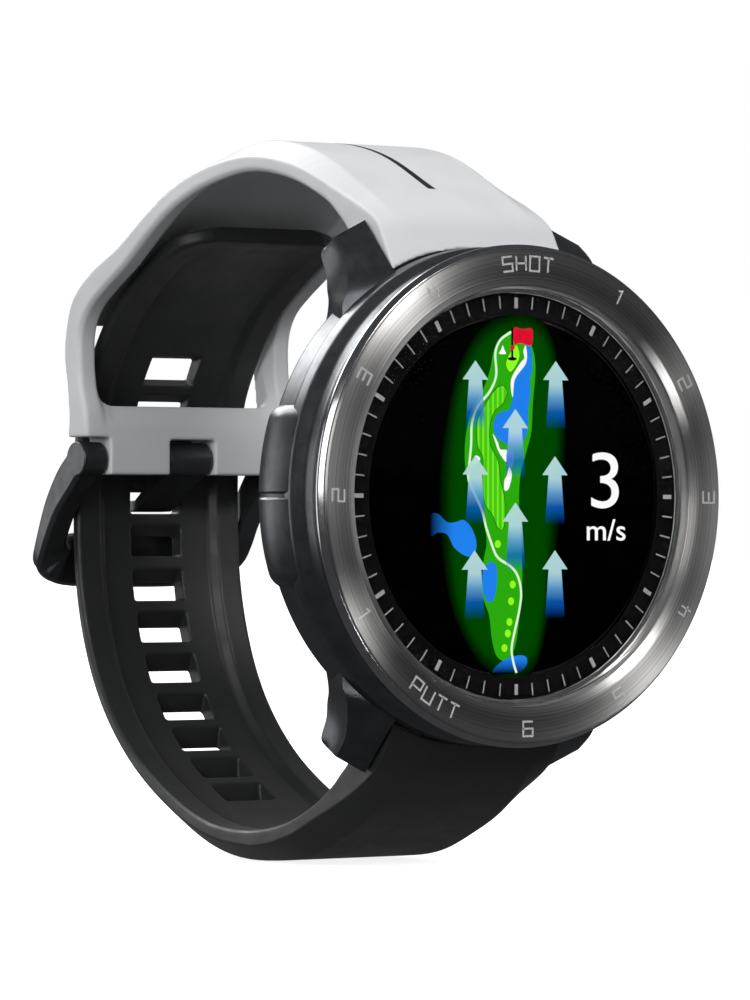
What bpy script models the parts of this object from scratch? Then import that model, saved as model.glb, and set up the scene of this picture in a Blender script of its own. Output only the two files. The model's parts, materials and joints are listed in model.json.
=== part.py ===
"""Golf GPS watch with a round case, a buckled two-part rubber strap and its inner parts.

World frame: +X is 3 o'clock, +Z is 12 o'clock and the dial faces -Y. The origin is the
centre of the sensor window's outer face, which is where the watch meets the wrist.
Driving sizes are in millimetres and are turned into metres by MM.
"""

import math

import bmesh
import bpy
from mathutils import Matrix, Vector

MM = 0.001

# Case: radii from the dial axis, and heights above the wrist face towards the wearer's eye.
BEZEL_RADIUS = 24.2
BEZEL_TOP = 12.4
BEZEL_OPENING = 20.2
RIDGE_RADIUS = 24.15
CAVITY_RADIUS = 21.2
LEDGE_RADIUS = 15.6
BACK_OPENING = 19.8
DISPLAY_RADIUS = 17.1

# Strap hinge axes, which run along X between the lugs.
BAR_Y = -0.9
BAR_Z = 24.5
BAR_RADIUS = 0.8
TIP_RADIUS = 0.42
TIP_REACH = 12.0

# Buckle hinge axis.
PIN_Y = 47.1
PIN_Z = 4.1
PIN_RADIUS = 0.6
KNUCKLE_RADIUS = 1.8
ARM_INNER = 10.5
ARM_OUTER = 13.3

# Strap sizing holes.
SLOT_PITCH = 4.55
SLOT_HEIGHT = 3.35
SLOT_HALF_WIDTH = 3.1
SLOT_SLOPE = 0.75
SLOT_CUT_DEPTH = 4.5
SLOT_MOUTH = 0.3
SLOT_ABOVE = 3
SLOT_BELOW = 8

# Side buttons, on the 3 o'clock side.
BUTTON_Z = 8.0
BUTTON_HEIGHT = 5.0

ROUND = 48
SMALL_ROUND = 12
SEAL_ROUND = 28


def clear_scene():
    for old in list(bpy.data.objects):
        bpy.data.objects.remove(old, do_unlink=True)


def new_collection(name):
    made = bpy.data.collections.new(name)
    bpy.context.scene.collection.children.link(made)
    return made


clear_scene()
WATCH = new_collection("golf_gps_watch")
CUTTERS = new_collection("cutters")


def material(name, colour, roughness, metallic=0.0):
    made = bpy.data.materials.get(name)
    if made is not None:
        return made
    made = bpy.data.materials.new(name)
    made.use_nodes = True
    shader = made.node_tree.nodes["Principled BSDF"]
    shader.inputs["Base Color"].default_value = (*colour, 1.0)
    shader.inputs["Roughness"].default_value = roughness
    shader.inputs["Metallic"].default_value = metallic
    return made


GUNMETAL = material("gunmetal_case", (0.10, 0.11, 0.12), 0.35, 0.9)
STEEL = material("brushed_steel", (0.42, 0.41, 0.40), 0.3, 1.0)
BRIGHT = material("bright_steel", (0.6, 0.6, 0.6), 0.2, 1.0)
WHITE_RUBBER = material("white_rubber", (0.78, 0.79, 0.80), 0.55)
BLACK_RUBBER = material("black_rubber", (0.015, 0.016, 0.016), 0.6)
SEAL_RUBBER = material("seal_rubber", (0.03, 0.03, 0.03), 0.8)
BUCKLE_METAL = material("buckle_metal", (0.10, 0.105, 0.11), 0.45, 0.8)
GLASS = material("lens_glass", (0.02, 0.02, 0.02), 0.03)
SCREEN = material("screen", (0.01, 0.05, 0.01), 0.1)
DIAL_BLACK = material("dial_black", (0.01, 0.01, 0.01), 0.4)
PLASTIC = material("inner_plastic", (0.05, 0.05, 0.055), 0.5)
BOARD = material("board_green", (0.01, 0.09, 0.04), 0.5)
CHIP = material("chip_black", (0.02, 0.02, 0.02), 0.4)
CELL = material("battery_foil", (0.55, 0.55, 0.57), 0.3, 0.8)
GOLD = material("contact_gold", (0.8, 0.6, 0.25), 0.25, 1.0)


def add(name, mesh, surface, collection=WATCH, matrix=None):
    made = bpy.data.objects.new(name, mesh)
    collection.objects.link(made)
    if surface is not None:
        mesh.materials.append(surface)
    if matrix is not None:
        made.matrix_world = matrix
    return made


def hide_cutter(obj):
    obj.hide_render = True
    obj.display_type = "WIRE"
    return obj


def boolean(obj, cutter, operation="DIFFERENCE"):
    modifier = obj.modifiers.new(operation.title() + "_" + cutter.name, "BOOLEAN")
    modifier.object = cutter
    modifier.operation = operation
    modifier.solver = "EXACT"
    return modifier


def shade(obj):
    obj.data.shade_smooth()
    obj.data.set_sharp_from_angle(angle=math.radians(35))


def hinged_at(obj, y, z):
    """Puts the origin on the joint axis along X at this Y and Z, and leaves the shape in place."""
    place = Matrix.Translation((0, y * MM, z * MM))
    obj.data.transform(place.inverted() @ obj.matrix_world)
    obj.matrix_world = place
    return obj


# Local +Z of a turned piece is the height above the wrist face, which is world -Y.
FACING = Matrix.Rotation(math.radians(90), 4, "X")


def turned(name, profile, surface, segments=ROUND, collection=WATCH, matrix=FACING):
    """A solid turned about its local Z axis. The profile holds (radius, height) and runs
    down its outer side. One that starts and ends on the axis is a disc, others are rings."""
    mesh = bpy.data.meshes.new(name)
    made = bmesh.new()
    points = [made.verts.new((radius * MM, 0, height * MM)) for radius, height in profile]
    for first, second in zip(points, points[1:]):
        made.edges.new((first, second))
    if profile[0][0] > 0:
        made.edges.new((points[-1], points[0]))
    made.to_mesh(mesh)
    made.free()
    obj = add(name, mesh, surface, collection, matrix)
    screw = obj.modifiers.new("Turn", "SCREW")
    screw.angle = math.tau
    screw.steps = segments
    screw.render_steps = segments
    screw.use_merge_vertices = True
    screw.merge_threshold = 0.00001
    return obj


def ring(name, inner, outer, low, high, surface, segments=ROUND, collection=WATCH, matrix=FACING):
    profile = [(inner, high), (outer, high), (outer, low), (inner, low)]
    return turned(name, profile, surface, segments, collection, matrix)


def disc(name, radius, low, high, surface, segments=ROUND, collection=WATCH, matrix=FACING):
    profile = [(0, high), (radius, high), (radius, low), (0, low)]
    return turned(name, profile, surface, segments, collection, matrix)


def donut(name, radius, thickness, height, surface, collection=WATCH, matrix=FACING):
    """A seal of round section, given by its centre radius and its thickness."""
    sides = 6
    profile = []
    for side in range(sides):
        turn = -math.tau * side / sides
        profile.append(
            (
                radius + thickness / 2 * math.cos(turn),
                height + thickness / 2 * math.sin(turn),
            )
        )
    return turned(name, profile, surface, SEAL_ROUND, collection, matrix)


def at_dial(angle_deg, radius):
    """World X and Z of a place on the dial, with the angle measured clockwise from 12."""
    turn = math.radians(angle_deg)
    return radius * math.sin(turn), radius * math.cos(turn)


def facing_at(x, z):
    return Matrix.Translation((x * MM, 0, z * MM)) @ FACING


# Local +Z of these pieces is world +X.
ALONG_X = Matrix(((0, 0, 1, 0), (1, 0, 0, 0), (0, 1, 0, 0), (0, 0, 0, 1)))


def along_x_at(y, z, x=0.0):
    return Matrix.Translation((x * MM, y * MM, z * MM)) @ ALONG_X


def rod(name, radius, start, end, y, z, surface, collection=WATCH, sides=SMALL_ROUND):
    """A cylinder along X from start to end."""
    return disc(name, radius, start, end, surface, sides, collection, along_x_at(y, z))


def box(name, low, high, surface, collection=WATCH, bevel=0.0):
    mesh = bpy.data.meshes.new(name)
    made = bmesh.new()
    bmesh.ops.create_cube(made, size=1.0)
    for vertex in made.verts:
        for axis in range(3):
            middle = (low[axis] + high[axis]) / 2
            vertex.co[axis] = (middle + vertex.co[axis] * (high[axis] - low[axis])) * MM
    made.to_mesh(mesh)
    made.free()
    obj = add(name, mesh, surface, collection)
    if bevel > 0:
        edge = obj.modifiers.new("Edges", "BEVEL")
        edge.width = bevel * MM
        edge.segments = 1
        edge.limit_method = "ANGLE"
    return obj


def side_plate(name, outline, low, high, surface, collection=WATCH):
    """A flat outline in world Y and Z, in millimetres, given thickness from low to high in X."""
    curve = bpy.data.curves.new(name, "CURVE")
    curve.dimensions = "2D"
    curve.fill_mode = "BOTH"
    curve.extrude = (high - low) / 2 * MM
    line = curve.splines.new("POLY")
    line.points.add(len(outline) - 1)
    for point, (y, z) in zip(line.points, outline):
        point.co = (y * MM, z * MM, 0, 1)
    line.use_cyclic_u = True
    guide = bpy.data.objects.new(name + "_outline", curve)
    guide.matrix_world = along_x_at(0, 0, (low + high) / 2)
    CUTTERS.objects.link(guide)
    bpy.context.view_layer.update()
    graph = bpy.context.evaluated_depsgraph_get()
    mesh = bpy.data.meshes.new_from_object(guide.evaluated_get(graph))
    matrix = guide.matrix_world.copy()
    bpy.data.objects.remove(guide, do_unlink=True)
    welded = bmesh.new()
    welded.from_mesh(mesh)
    bmesh.ops.remove_doubles(welded, verts=welded.verts, dist=0.000001)
    bmesh.ops.recalc_face_normals(welded, faces=welded.faces)
    welded.to_mesh(mesh)
    welded.free()
    return add(name, mesh, surface, collection, matrix)


def smooth_table(rows, steps):
    """Catmull-Rom values between rows of numbers, with steps values for each span."""
    padded = [rows[0], *rows, rows[-1]]
    found = []
    for before, first, second, after in zip(padded, padded[1:], padded[2:], padded[3:]):
        for step in range(steps):
            t = step / steps
            found.append(
                [
                    0.5
                    * (
                        2 * b
                        + (c - a) * t
                        + (2 * a - 5 * b + 4 * c - d) * t * t
                        + (3 * b - a - 3 * c + d) * t * t * t
                    )
                    for a, b, c, d in zip(before, first, second, after)
                ]
            )
    found.append(list(rows[-1]))
    return found


def loft(name, sections, surface, collection=WATCH):
    """A closed solid through sections that have the same number of points."""
    mesh = bpy.data.meshes.new(name)
    made = bmesh.new()
    rings = [[made.verts.new(Vector(p) * MM) for p in section] for section in sections]
    count = len(sections[0])
    for first, second in zip(rings, rings[1:]):
        for i in range(count):
            j = (i + 1) % count
            made.faces.new((first[i], first[j], second[j], second[i]))
    made.faces.new(list(reversed(rings[0])))
    made.faces.new(rings[-1])
    bmesh.ops.recalc_face_normals(made, faces=made.faces)
    made.to_mesh(mesh)
    made.free()
    return add(name, mesh, surface, collection)


def coil(name, radius, wire, start, end, turns, y, z, surface):
    """A helical spring along X."""
    curve = bpy.data.curves.new(name, "CURVE")
    curve.dimensions = "3D"
    curve.bevel_depth = wire * MM
    curve.bevel_resolution = 1
    curve.use_fill_caps = True
    line = curve.splines.new("POLY")
    steps = round(turns * 7)
    line.points.add(steps)
    for step, point in enumerate(line.points):
        turn = math.tau * turns * step / steps
        x = start + (end - start) * step / steps
        point.co = (
            x * MM,
            (y + radius * math.cos(turn)) * MM,
            (z + radius * math.sin(turn)) * MM,
            1,
        )
    obj = bpy.data.objects.new(name, curve)
    curve.materials.append(surface)
    WATCH.objects.link(obj)
    return obj


# ---------------------------------------------------------------- case

# Outer and inner wall of the middle case, top outer edge first. The band under the bezel
# is hollowed, the ridge stands proud, and the flank tapers to the wrist.
CASE_PROFILE = [
    (22.8, 11.05),
    (23.5, 11.05),
    (23.7, 10.8),
    (23.35, 9.6),
    (23.45, 8.5),
    (RIDGE_RADIUS, 7.1),
    (RIDGE_RADIUS, 5.4),
    (23.75, 5.1),
    (23.55, 2.0),
    (22.7, 0.9),
    (21.0, 0.5),
    (BACK_OPENING, 0.5),
    (BACK_OPENING, 2.1),
    (19.35, 2.1),
    (19.35, 2.8),
    (18.45, 2.8),
    (18.45, 2.1),
    (LEDGE_RADIUS, 2.1),
    (LEDGE_RADIUS, 3.2),
    (CAVITY_RADIUS, 3.2),
    (CAVITY_RADIUS, 9.5),
    (22.8, 9.5),
]


# Sections of one lug from its root to its tip: inner front, outer front, the middle of the
# scooped outer side, outer back and inner back. The front face slopes back to the tip.
LUG_SECTIONS = [
    [(11.0, -6.3, 18.6), (16.6, -5.0, 14.2), (16.4, -2.8, 14.2), (16.1, -0.8, 14.4), (11.0, 0.2, 18.7)],
    [(11.0, -6.5, 19.3), (16.3, -4.2, 18.0), (15.6, -2.2, 18.0), (14.8, -0.1, 18.2), (11.0, 1.0, 19.0)],
    [(11.0, -6.2, 21.0), (15.7, -4.3, 19.7), (15.0, -2.0, 19.7), (14.5, 0.5, 19.9), (11.0, 1.3, 21.0)],
    [(11.0, -5.0, 22.3), (15.3, -4.0, 21.6), (14.7, -1.8, 21.6), (14.4, 0.8, 21.4), (11.0, 1.6, 22.6)],
    [(11.0, -3.0, 24.4), (15.0, -3.0, 23.5), (14.5, -1.0, 23.4), (14.5, 1.5, 23.3), (11.0, 1.7, 23.8)],
    [(11.0, -0.9, 26.7), (14.8, -1.3, 25.0), (14.4, 0.0, 24.6), (14.2, 1.2, 24.1), (11.0, 0.9, 25.8)],
]


def lug_sections(side, end):
    """The lug's sections on one side, -1 or 1 in X, and at one end, -1 or 1 in Z."""
    return [[(side * x, y, end * z) for x, y, z in section] for section in LUG_SECTIONS]


def make_case():
    body = turned("case_body", CASE_PROFILE, GUNMETAL)
    number = 0
    for side in (-1, 1):
        for end in (-1, 1):
            number += 1
            lug = loft(f"lug_{number}", lug_sections(side, end), None, CUTTERS)
            hide_cutter(lug)
            boolean(body, lug, "UNION")
    for end in (-1, 1):
        hole = rod(f"bar_hole_{end}", 0.58, -12.6, 12.6, BAR_Y, end * BAR_Z, None, CUTTERS)
        boolean(body, hide_cutter(hole))
        pocket = box(
            f"button_pocket_{end}",
            (21.4, -BUTTON_HEIGHT - 1.9, end * BUTTON_Z - 3.9),
            (27.0, -BUTTON_HEIGHT + 1.9, end * BUTTON_Z + 3.9),
            None,
            CUTTERS,
        )
        boolean(body, hide_cutter(pocket))
        steps = [(0, 22.1), (1.45, 22.1), (1.45, 20.4), (0.75, 20.4), (0.75, 17.0), (0, 17.0)]
        place = along_x_at(-BUTTON_HEIGHT, end * BUTTON_Z)
        bore = turned(f"stem_hole_{end}", steps, None, SMALL_ROUND, CUTTERS, place)
        boolean(body, hide_cutter(bore))
    for number, (x, z) in enumerate(SCREW_PLACES, 1):
        hole = disc(f"ledge_hole_{number}", 0.65, 1.5, 3.6, None, SMALL_ROUND, CUTTERS, facing_at(x, z))
        boolean(body, hide_cutter(hole))
    shade(body)
    return body


SCREW_PLACES = [at_dial(angle, 17.0) for angle in (45, 135, 225, 315)]
CONTACT_PLACES = [(x, -12.5) for x in (-3.75, -1.25, 1.25, 3.75)]


def make_side_guard():
    """Raised pad on the 9 o'clock flank, with a shallow notch at its middle."""
    profile = [(24.15, 4.8), (24.65, 4.8), (24.62, 2.9), (24.25, 1.9), (24.0, 1.9), (24.05, 3.0)]
    sections = []
    for step in range(-12, 13):
        angle = math.radians(270 + step * 1.75)
        sunk = 0.3 if abs(step) == 0 else 0.0
        sections.append(
            [
                ((r - sunk * (r > 24)) * math.sin(angle), -h, (r - sunk * (r > 24)) * math.cos(angle))
                for r, h in profile
            ]
        )
    shade(loft("side_guard", sections, GUNMETAL))


def make_bezel_and_lens():
    bezel = [
        (20.2, 12.0),
        (21.0, BEZEL_TOP),
        (23.7, BEZEL_TOP),
        (BEZEL_RADIUS, 11.5),
        (BEZEL_RADIUS, 11.25),
        (22.6, 11.25),
        (22.6, 10.15),
        (19.55, 10.15),
        (19.55, 10.5),
        (BEZEL_OPENING, 10.5),
    ]
    shade(turned("bezel", bezel, STEEL))
    ring("bezel_gasket", 21.6, 22.5, 9.6, 10.0, SEAL_RUBBER)
    ring("lens_gasket", 19.6, 19.95, 10.6, 10.8, SEAL_RUBBER)
    lens = [(0, 12.1), (19.6, 12.1), (19.95, 11.8), (19.95, 10.9), (0, 10.9)]
    shade(turned("cover_lens", lens, GLASS))


def make_display():
    ring("dial_ring", 17.4, 19.35, 10.0, 10.45, DIAL_BLACK)
    disc("display_panel", DISPLAY_RADIUS, 9.45, 10.35, SCREEN)
    holder = [
        (17.5, 9.85),
        (19.3, 9.85),
        (19.3, 8.9),
        (20.9, 8.9),
        (20.9, 8.5),
        (12.0, 8.5),
        (12.0, 9.2),
        (17.5, 9.2),
    ]
    turned("display_holder", holder, PLASTIC)
    ring("antenna_ring", 19.6, 20.9, 9.05, 9.4, GOLD, 48)
    cable = [
        (-9.25, -6.0),
        (-8.75, -6.0),
        (-8.2, -6.6),
        (-8.2, -7.6),
        (-8.0, -8.0),
        (-7.75, -8.4),
        (-7.75, -9.6),
        (-7.55, -9.6),
        (-7.55, -8.2),
        (-7.8, -7.8),
        (-8.0, -7.5),
        (-8.0, -6.4),
        (-8.7, -5.75),
        (-9.25, -5.75),
    ]
    side_plate("display_cable", cable, -3.0, 3.0, GOLD)


def make_electronics():
    disc("main_board", 18.4, 6.7, 7.35, BOARD, 48)
    box("processor_chip", (-9.5, -8.3, 1.0), (-2.5, -7.5, 8.0), CHIP)
    box("gps_chip", (2.0, -8.2, 2.0), (7.5, -7.5, 7.5), CHIP)
    box("memory_chip", (4.5, -8.2, -6.0), (8.5, -7.5, -1.5), CHIP)
    cell = [(0, 6.5), (13.2, 6.5), (13.5, 6.2), (13.5, 3.3), (13.2, 3.0), (0, 3.0)]
    turned("battery", cell, CELL, 40)
    x, z = at_dial(225, 17.2)
    disc("vibration_motor", 3.0, 3.4, 6.1, BRIGHT, 24, WATCH, facing_at(x, z))
    x, z = at_dial(315, 17.2)
    disc("buzzer", 3.2, 3.4, 5.8, PLASTIC, 24, WATCH, facing_at(x, z))
    disc("sensor_board", 8.0, 2.05, 2.65, BOARD, 32)


def make_back():
    back = ring("case_back", 9.3, 19.5, 0.3, 1.9, STEEL)
    window = [(0, 1.5), (9.0, 1.5), (9.0, 0.2), (8.7, 0), (0, 0)]
    turned("sensor_window", window, GLASS, 48)
    donut("back_gasket", 18.9, 0.42, 2.35, SEAL_RUBBER)
    for number, (x, z) in enumerate(SCREW_PLACES, 1):
        place = facing_at(x, z)
        hole = disc(f"screw_hole_{number}", 0.75, -0.5, 2.5, None, SMALL_ROUND, CUTTERS, place)
        boolean(back, hide_cutter(hole))
        sink = disc(f"screw_sink_{number}", 1.35, -0.5, 1.15, None, SMALL_ROUND, CUTTERS, place)
        boolean(back, hide_cutter(sink))
        shank = [(0, 3.0), (0.45, 3.0), (0.45, 1.0)]
        screw = [*shank, (1.1, 1.0), (1.1, 0.4), (0.5, 0.4), (0.5, 0.7), (0, 0.7)]
        turned(f"back_screw_{number}", screw, BRIGHT, SMALL_ROUND, WATCH, place)
    for number, (x, z) in enumerate(CONTACT_PLACES, 1):
        place = facing_at(x, z)
        hole = disc(f"contact_hole_{number}", 0.95, -0.5, 2.5, None, SMALL_ROUND, CUTTERS, place)
        boolean(back, hide_cutter(hole))
        pin = [(0, 2.6), (0.35, 2.6), (0.35, 1.7), (0.75, 1.7), (0.75, 0.25), (0, 0.25)]
        turned(f"charging_contact_{number}", pin, GOLD, SMALL_ROUND, WATCH, place)


def make_button(name, z):
    """Push button with its stem, retaining clip, seal and switch, along X."""
    y = -BUTTON_HEIGHT
    cap = box(name, (22.2, y - 1.6, z - 3.5), (25.0, y + 1.6, z + 3.5), BRIGHT, WATCH, 0.5)
    hinged_at(cap, y, z)
    grooved = [
        (0, 22.6),
        (0.6, 22.6),
        (0.6, 18.85),
        (0.4, 18.85),
        (0.4, 18.4),
        (0.6, 18.4),
        (0.6, 18.0),
        (0, 18.0),
    ]
    stem = turned(name + "_stem", grooved, None, SMALL_ROUND, CUTTERS, along_x_at(y, z))
    boolean(cap, hide_cutter(stem), "UNION")
    clip = ring(name + "_clip", 0.5, 1.25, 18.5, 18.75, BRIGHT, 20, WATCH, along_x_at(y, z))
    gap = box(name + "_clip_gap", (18.3, y - 0.3, z), (19.0, y + 0.3, z + 3.0), None, CUTTERS)
    boolean(clip, hide_cutter(gap))
    donut(name + "_seal", 1.0, 0.5, 20.8, SEAL_RUBBER, WATCH, along_x_at(y, z))
    box(name + "_switch", (15.5, y - 1.4, z - 1.6), (17.2, y + 1.0, z + 1.6), PLASTIC, WATCH, 0.2)


# ---------------------------------------------------------------- straps

# Each row: inner edge Y and Z, outer edge Y and Z, half width, crown of the middle over the
# edges, and depth of the channel on the wrist side.
UPPER_STRAP = [
    (0.9, 21.8, -4.9, 21.8, 10.6, 0.0, 0.0),
    (1.9, 24.6, -3.3, 25.0, 10.6, 0.0, 0.0),
    (2.9, 26.0, -2.0, 26.8, 10.6, 0.25, 0.0),
    (4.3, 27.4, 0.6, 28.3, 10.7, 0.8, 0.0),
    (6.9, 29.2, 4.8, 30.1, 10.7, 1.3, 0.1),
    (12.6, 31.4, 11.6, 32.7, 10.8, 1.7, 0.6),
    (19.0, 32.4, 18.9, 33.9, 11.1, 1.7, 1.0),
    (24.5, 31.4, 25.2, 33.0, 12.2, 1.7, 1.6),
    (29.2, 29.5, 30.3, 31.0, 13.0, 1.6, 1.9),
    (33.3, 27.0, 34.6, 28.4, 13.3, 1.5, 1.9),
    (38.0, 23.8, 39.2, 25.6, 13.3, 1.5, 1.9),
    (42.3, 21.3, 43.9, 23.4, 13.3, 1.4, 2.2),
    (45.0, 19.4, 47.4, 20.9, 13.3, 1.4, 2.5),
    (46.3, 17.2, 48.8, 18.0, 13.3, 1.4, 2.6),
    (46.5, 14.4, 49.2, 14.8, 13.3, 1.3, 2.4),
    (46.2, 11.6, 48.7, 11.8, 13.3, 1.2, 1.6),
    (45.4, 8.8, 48.4, 8.9, 13.3, 1.2, 0.3),
    (45.1, 5.8, 48.5, 5.8, 13.3, 1.2, 0.0),
    (45.1, 2.5, 48.6, 2.5, 13.3, 1.1, 0.0),
]
LOWER_STRAP = [
    (0.9, -21.8, -4.9, -21.8, 10.6, 0.0, 0.0),
    (1.9, -24.6, -3.3, -25.0, 10.6, 0.0, 0.0),
    (2.9, -25.9, -1.6, -26.8, 10.6, 0.6, 0.0),
    (4.2, -27.0, 1.4, -28.6, 10.6, 1.5, 0.0),
    (6.0, -28.5, 4.4, -30.0, 10.6, 2.1, 0.1),
    (9.5, -30.5, 8.6, -31.7, 10.5, 2.3, 0.6),
    (13.7, -32.1, 13.2, -33.5, 10.4, 2.1, 0.8),
    (18.5, -33.0, 18.4, -34.6, 10.3, 1.6, 0.8),
    (24.1, -33.1, 24.4, -34.5, 10.2, 1.7, 0.8),
    (29.2, -32.2, 29.7, -33.4, 10.2, 1.7, 0.8),
    (34.8, -29.9, 35.4, -31.0, 10.2, 1.6, 0.8),
    (40.3, -26.6, 41.0, -27.5, 10.2, 1.6, 0.8),
    (44.6, -22.7, 45.4, -23.4, 10.2, 1.6, 0.8),
    (47.6, -18.5, 48.5, -19.0, 10.2, 1.6, 0.8),
    (49.7, -13.6, 50.7, -13.9, 10.2, 1.6, 0.8),
    (51.0, -8.2, 52.0, -8.3, 10.2, 1.6, 0.8),
    (51.4, -2.5, 52.4, -2.4, 10.2, 1.5, 0.8),
    (51.4, 2.4, 52.4, 2.6, 10.2, 1.4, 0.8),
    (51.0, 6.4, 52.0, 6.8, 10.2, 1.2, 0.8),
    (49.9, 10.5, 50.8, 11.2, 10.2, 1.0, 0.6),
    (47.7, 14.3, 48.7, 15.2, 10.2, 0.9, 0.5),
    (44.9, 17.9, 45.8, 19.0, 10.2, 0.8, 0.5),
    (41.3, 20.9, 42.1, 22.1, 10.2, 0.7, 0.5),
    (37.0, 23.5, 37.6, 24.8, 10.2, 0.7, 0.4),
    (33.6, 25.1, 34.0, 26.5, 9.8, 0.6, 0.2),
    (31.8, 25.8, 32.2, 27.1, 8.4, 0.5, 0.0),
    (31.0, 26.1, 31.3, 27.3, 6.8, 0.4, 0.0),
]
UPPER_CHANNEL = 10.9
LOWER_CHANNEL = 7.0
UPPER_PANEL = 8.4
LOWER_PANEL = 8.0


def strap_section(row, channel_half, panel_half):
    """One closed section across a strap: channel floor, rail, side, chamfer and middle panel."""
    inner_y, inner_z, outer_y, outer_z, half, crown, channel = row
    inner = Vector((0, inner_y, inner_z))
    across = Vector((0, outer_y, outer_z)) - inner
    thick = across.length
    out = across.normalized()
    edge = min(0.35, thick * 0.3)
    channel_edge = min(channel_half, half - 1.3)
    places = [
        (channel_edge - 0.4, channel),
        (channel_edge + 0.4, 0.0),
        (half - edge, 0.0),
        (half, edge),
        (half, thick),
        (min(panel_half, half - 1.4), thick + crown),
    ]
    right = [inner + out * depth + Vector((x, 0, 0)) for x, depth in places]
    left = [Vector((-p.x, p.y, p.z)) for p in reversed(right)]
    return right + left


def strap(name, rows, surface, channel_half, panel_half):
    sections = [strap_section(row, channel_half, panel_half) for row in smooth_table(rows, 2)]
    return loft(name, sections, surface)


def case_clearance(name):
    """The case's flank grown by a gap, to cut the end of a strap to fit round it."""
    outer = [(24.55, 13.0), (24.55, 5.2), (24.15, 4.8), (23.95, 1.9), (23.0, 0.6), (21.0, 0.1)]
    profile = [(0, 13.0), *outer, (0, 0.1)]
    cutter = turned(name, profile, None, ROUND, CUTTERS)
    return hide_cutter(cutter)


def add_slot_wedge(made, centre, along, out):
    """Adds one sizing hole's cutter. Its wall nearer the strap's tip slants in as it goes out."""
    half = SLOT_HEIGHT / 2
    wide = half + SLOT_SLOPE * (SLOT_CUT_DEPTH + SLOT_MOUTH)
    tight = half - SLOT_SLOPE * (SLOT_CUT_DEPTH - SLOT_MOUTH)
    outline = [
        (-half, -SLOT_CUT_DEPTH),
        (wide, -SLOT_CUT_DEPTH),
        (tight, SLOT_CUT_DEPTH),
        (-half, SLOT_CUT_DEPTH),
    ]
    ends = []
    for x in (-SLOT_HALF_WIDTH, SLOT_HALF_WIDTH):
        points = [centre + Vector((x, 0, 0)) + along * u + out * v for u, v in outline]
        ends.append([made.verts.new(point * MM) for point in points])
    made.faces.new(ends[0])
    made.faces.new(list(reversed(ends[1])))
    for i in range(4):
        j = (i + 1) % 4
        made.faces.new((ends[0][j], ends[0][i], ends[1][i], ends[1][j]))


def slot_cutters(name, rows):
    """A wedge for each sizing hole, spaced along the strap's middle line from the one in use."""
    fine = smooth_table(rows, 24)
    line = [Vector((0, (r[0] + r[2]) / 2, (r[1] + r[3]) / 2)) for r in fine]
    lengths = [0.0]
    for first, second in zip(line, line[1:]):
        lengths.append(lengths[-1] + (second - first).length)
    start = next(i for i, p in enumerate(line) if p.y > 40 and p.z > -0.05)
    mesh = bpy.data.meshes.new(name)
    made = bmesh.new()
    for number in range(-SLOT_BELOW, SLOT_ABOVE + 1):
        wanted = lengths[start] + number * SLOT_PITCH
        i = min(range(1, len(line) - 1), key=lambda k: abs(lengths[k] - wanted))
        along = (line[i + 1] - line[i - 1]).normalized()
        add_slot_wedge(made, line[i], along, along.cross(Vector((1, 0, 0))))
    bmesh.ops.recalc_face_normals(made, faces=made.faces)
    made.to_mesh(mesh)
    made.free()
    return hide_cutter(add(name, mesh, None, CUTTERS))


def bar_seat(strap_object, name, end):
    """Spring bar bore through a strap's end, and the recess round the release lever."""
    bore = rod(f"{name}_bore", 1.0, -12, 12, BAR_Y, end * BAR_Z, None, CUTTERS)
    boolean(strap_object, hide_cutter(bore))
    recess = box(
        f"{name}_lever_recess",
        (4.4, BAR_Y, end * BAR_Z - 0.85),
        (8.9, 6.0, end * BAR_Z + 0.85),
        None,
        CUTTERS,
    )
    boolean(strap_object, hide_cutter(recess))


def make_upper_strap():
    upper = strap("upper_strap", UPPER_STRAP, WHITE_RUBBER, UPPER_CHANNEL, UPPER_PANEL)
    hinged_at(upper, BAR_Y, BAR_Z)
    boolean(upper, case_clearance("upper_clearance"))
    bar_seat(upper, "upper_bar", 1)
    window = [(43.6, 4.5), (46.3, 9.6), (47.5, 9.6), (50.4, 6.2), (54.0, 6.2), (54.0, 18.0), (43.6, 18.0)]
    opening = side_plate("tail_window", window, -10.7, 10.7, None, CUTTERS)
    boolean(upper, hide_cutter(opening))
    prong_gap = box("prong_gap", (-2.85, 43, 1.0), (2.85, 52, 6.15), None, CUTTERS)
    boolean(upper, hide_cutter(prong_gap))
    for side in (-1, 1):
        low, high = sorted((side * 10.25, side * 15.0))
        gap = box(f"arm_gap_{side}", (low, 43, 1.0), (high, 52, 6.35), None, CUTTERS)
        boolean(upper, hide_cutter(gap))
    bore = rod("pin_bore", 0.72, -12, 12, PIN_Y, PIN_Z, None, CUTTERS)
    boolean(upper, hide_cutter(bore))
    shade(upper)


def make_lower_strap():
    lower = strap("lower_strap", LOWER_STRAP, BLACK_RUBBER, LOWER_CHANNEL, LOWER_PANEL)
    hinged_at(lower, BAR_Y, -BAR_Z)
    boolean(lower, case_clearance("lower_clearance"))
    bar_seat(lower, "lower_bar", -1)
    boolean(lower, slot_cutters("sizing_holes", LOWER_STRAP))
    shade(lower)


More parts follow.
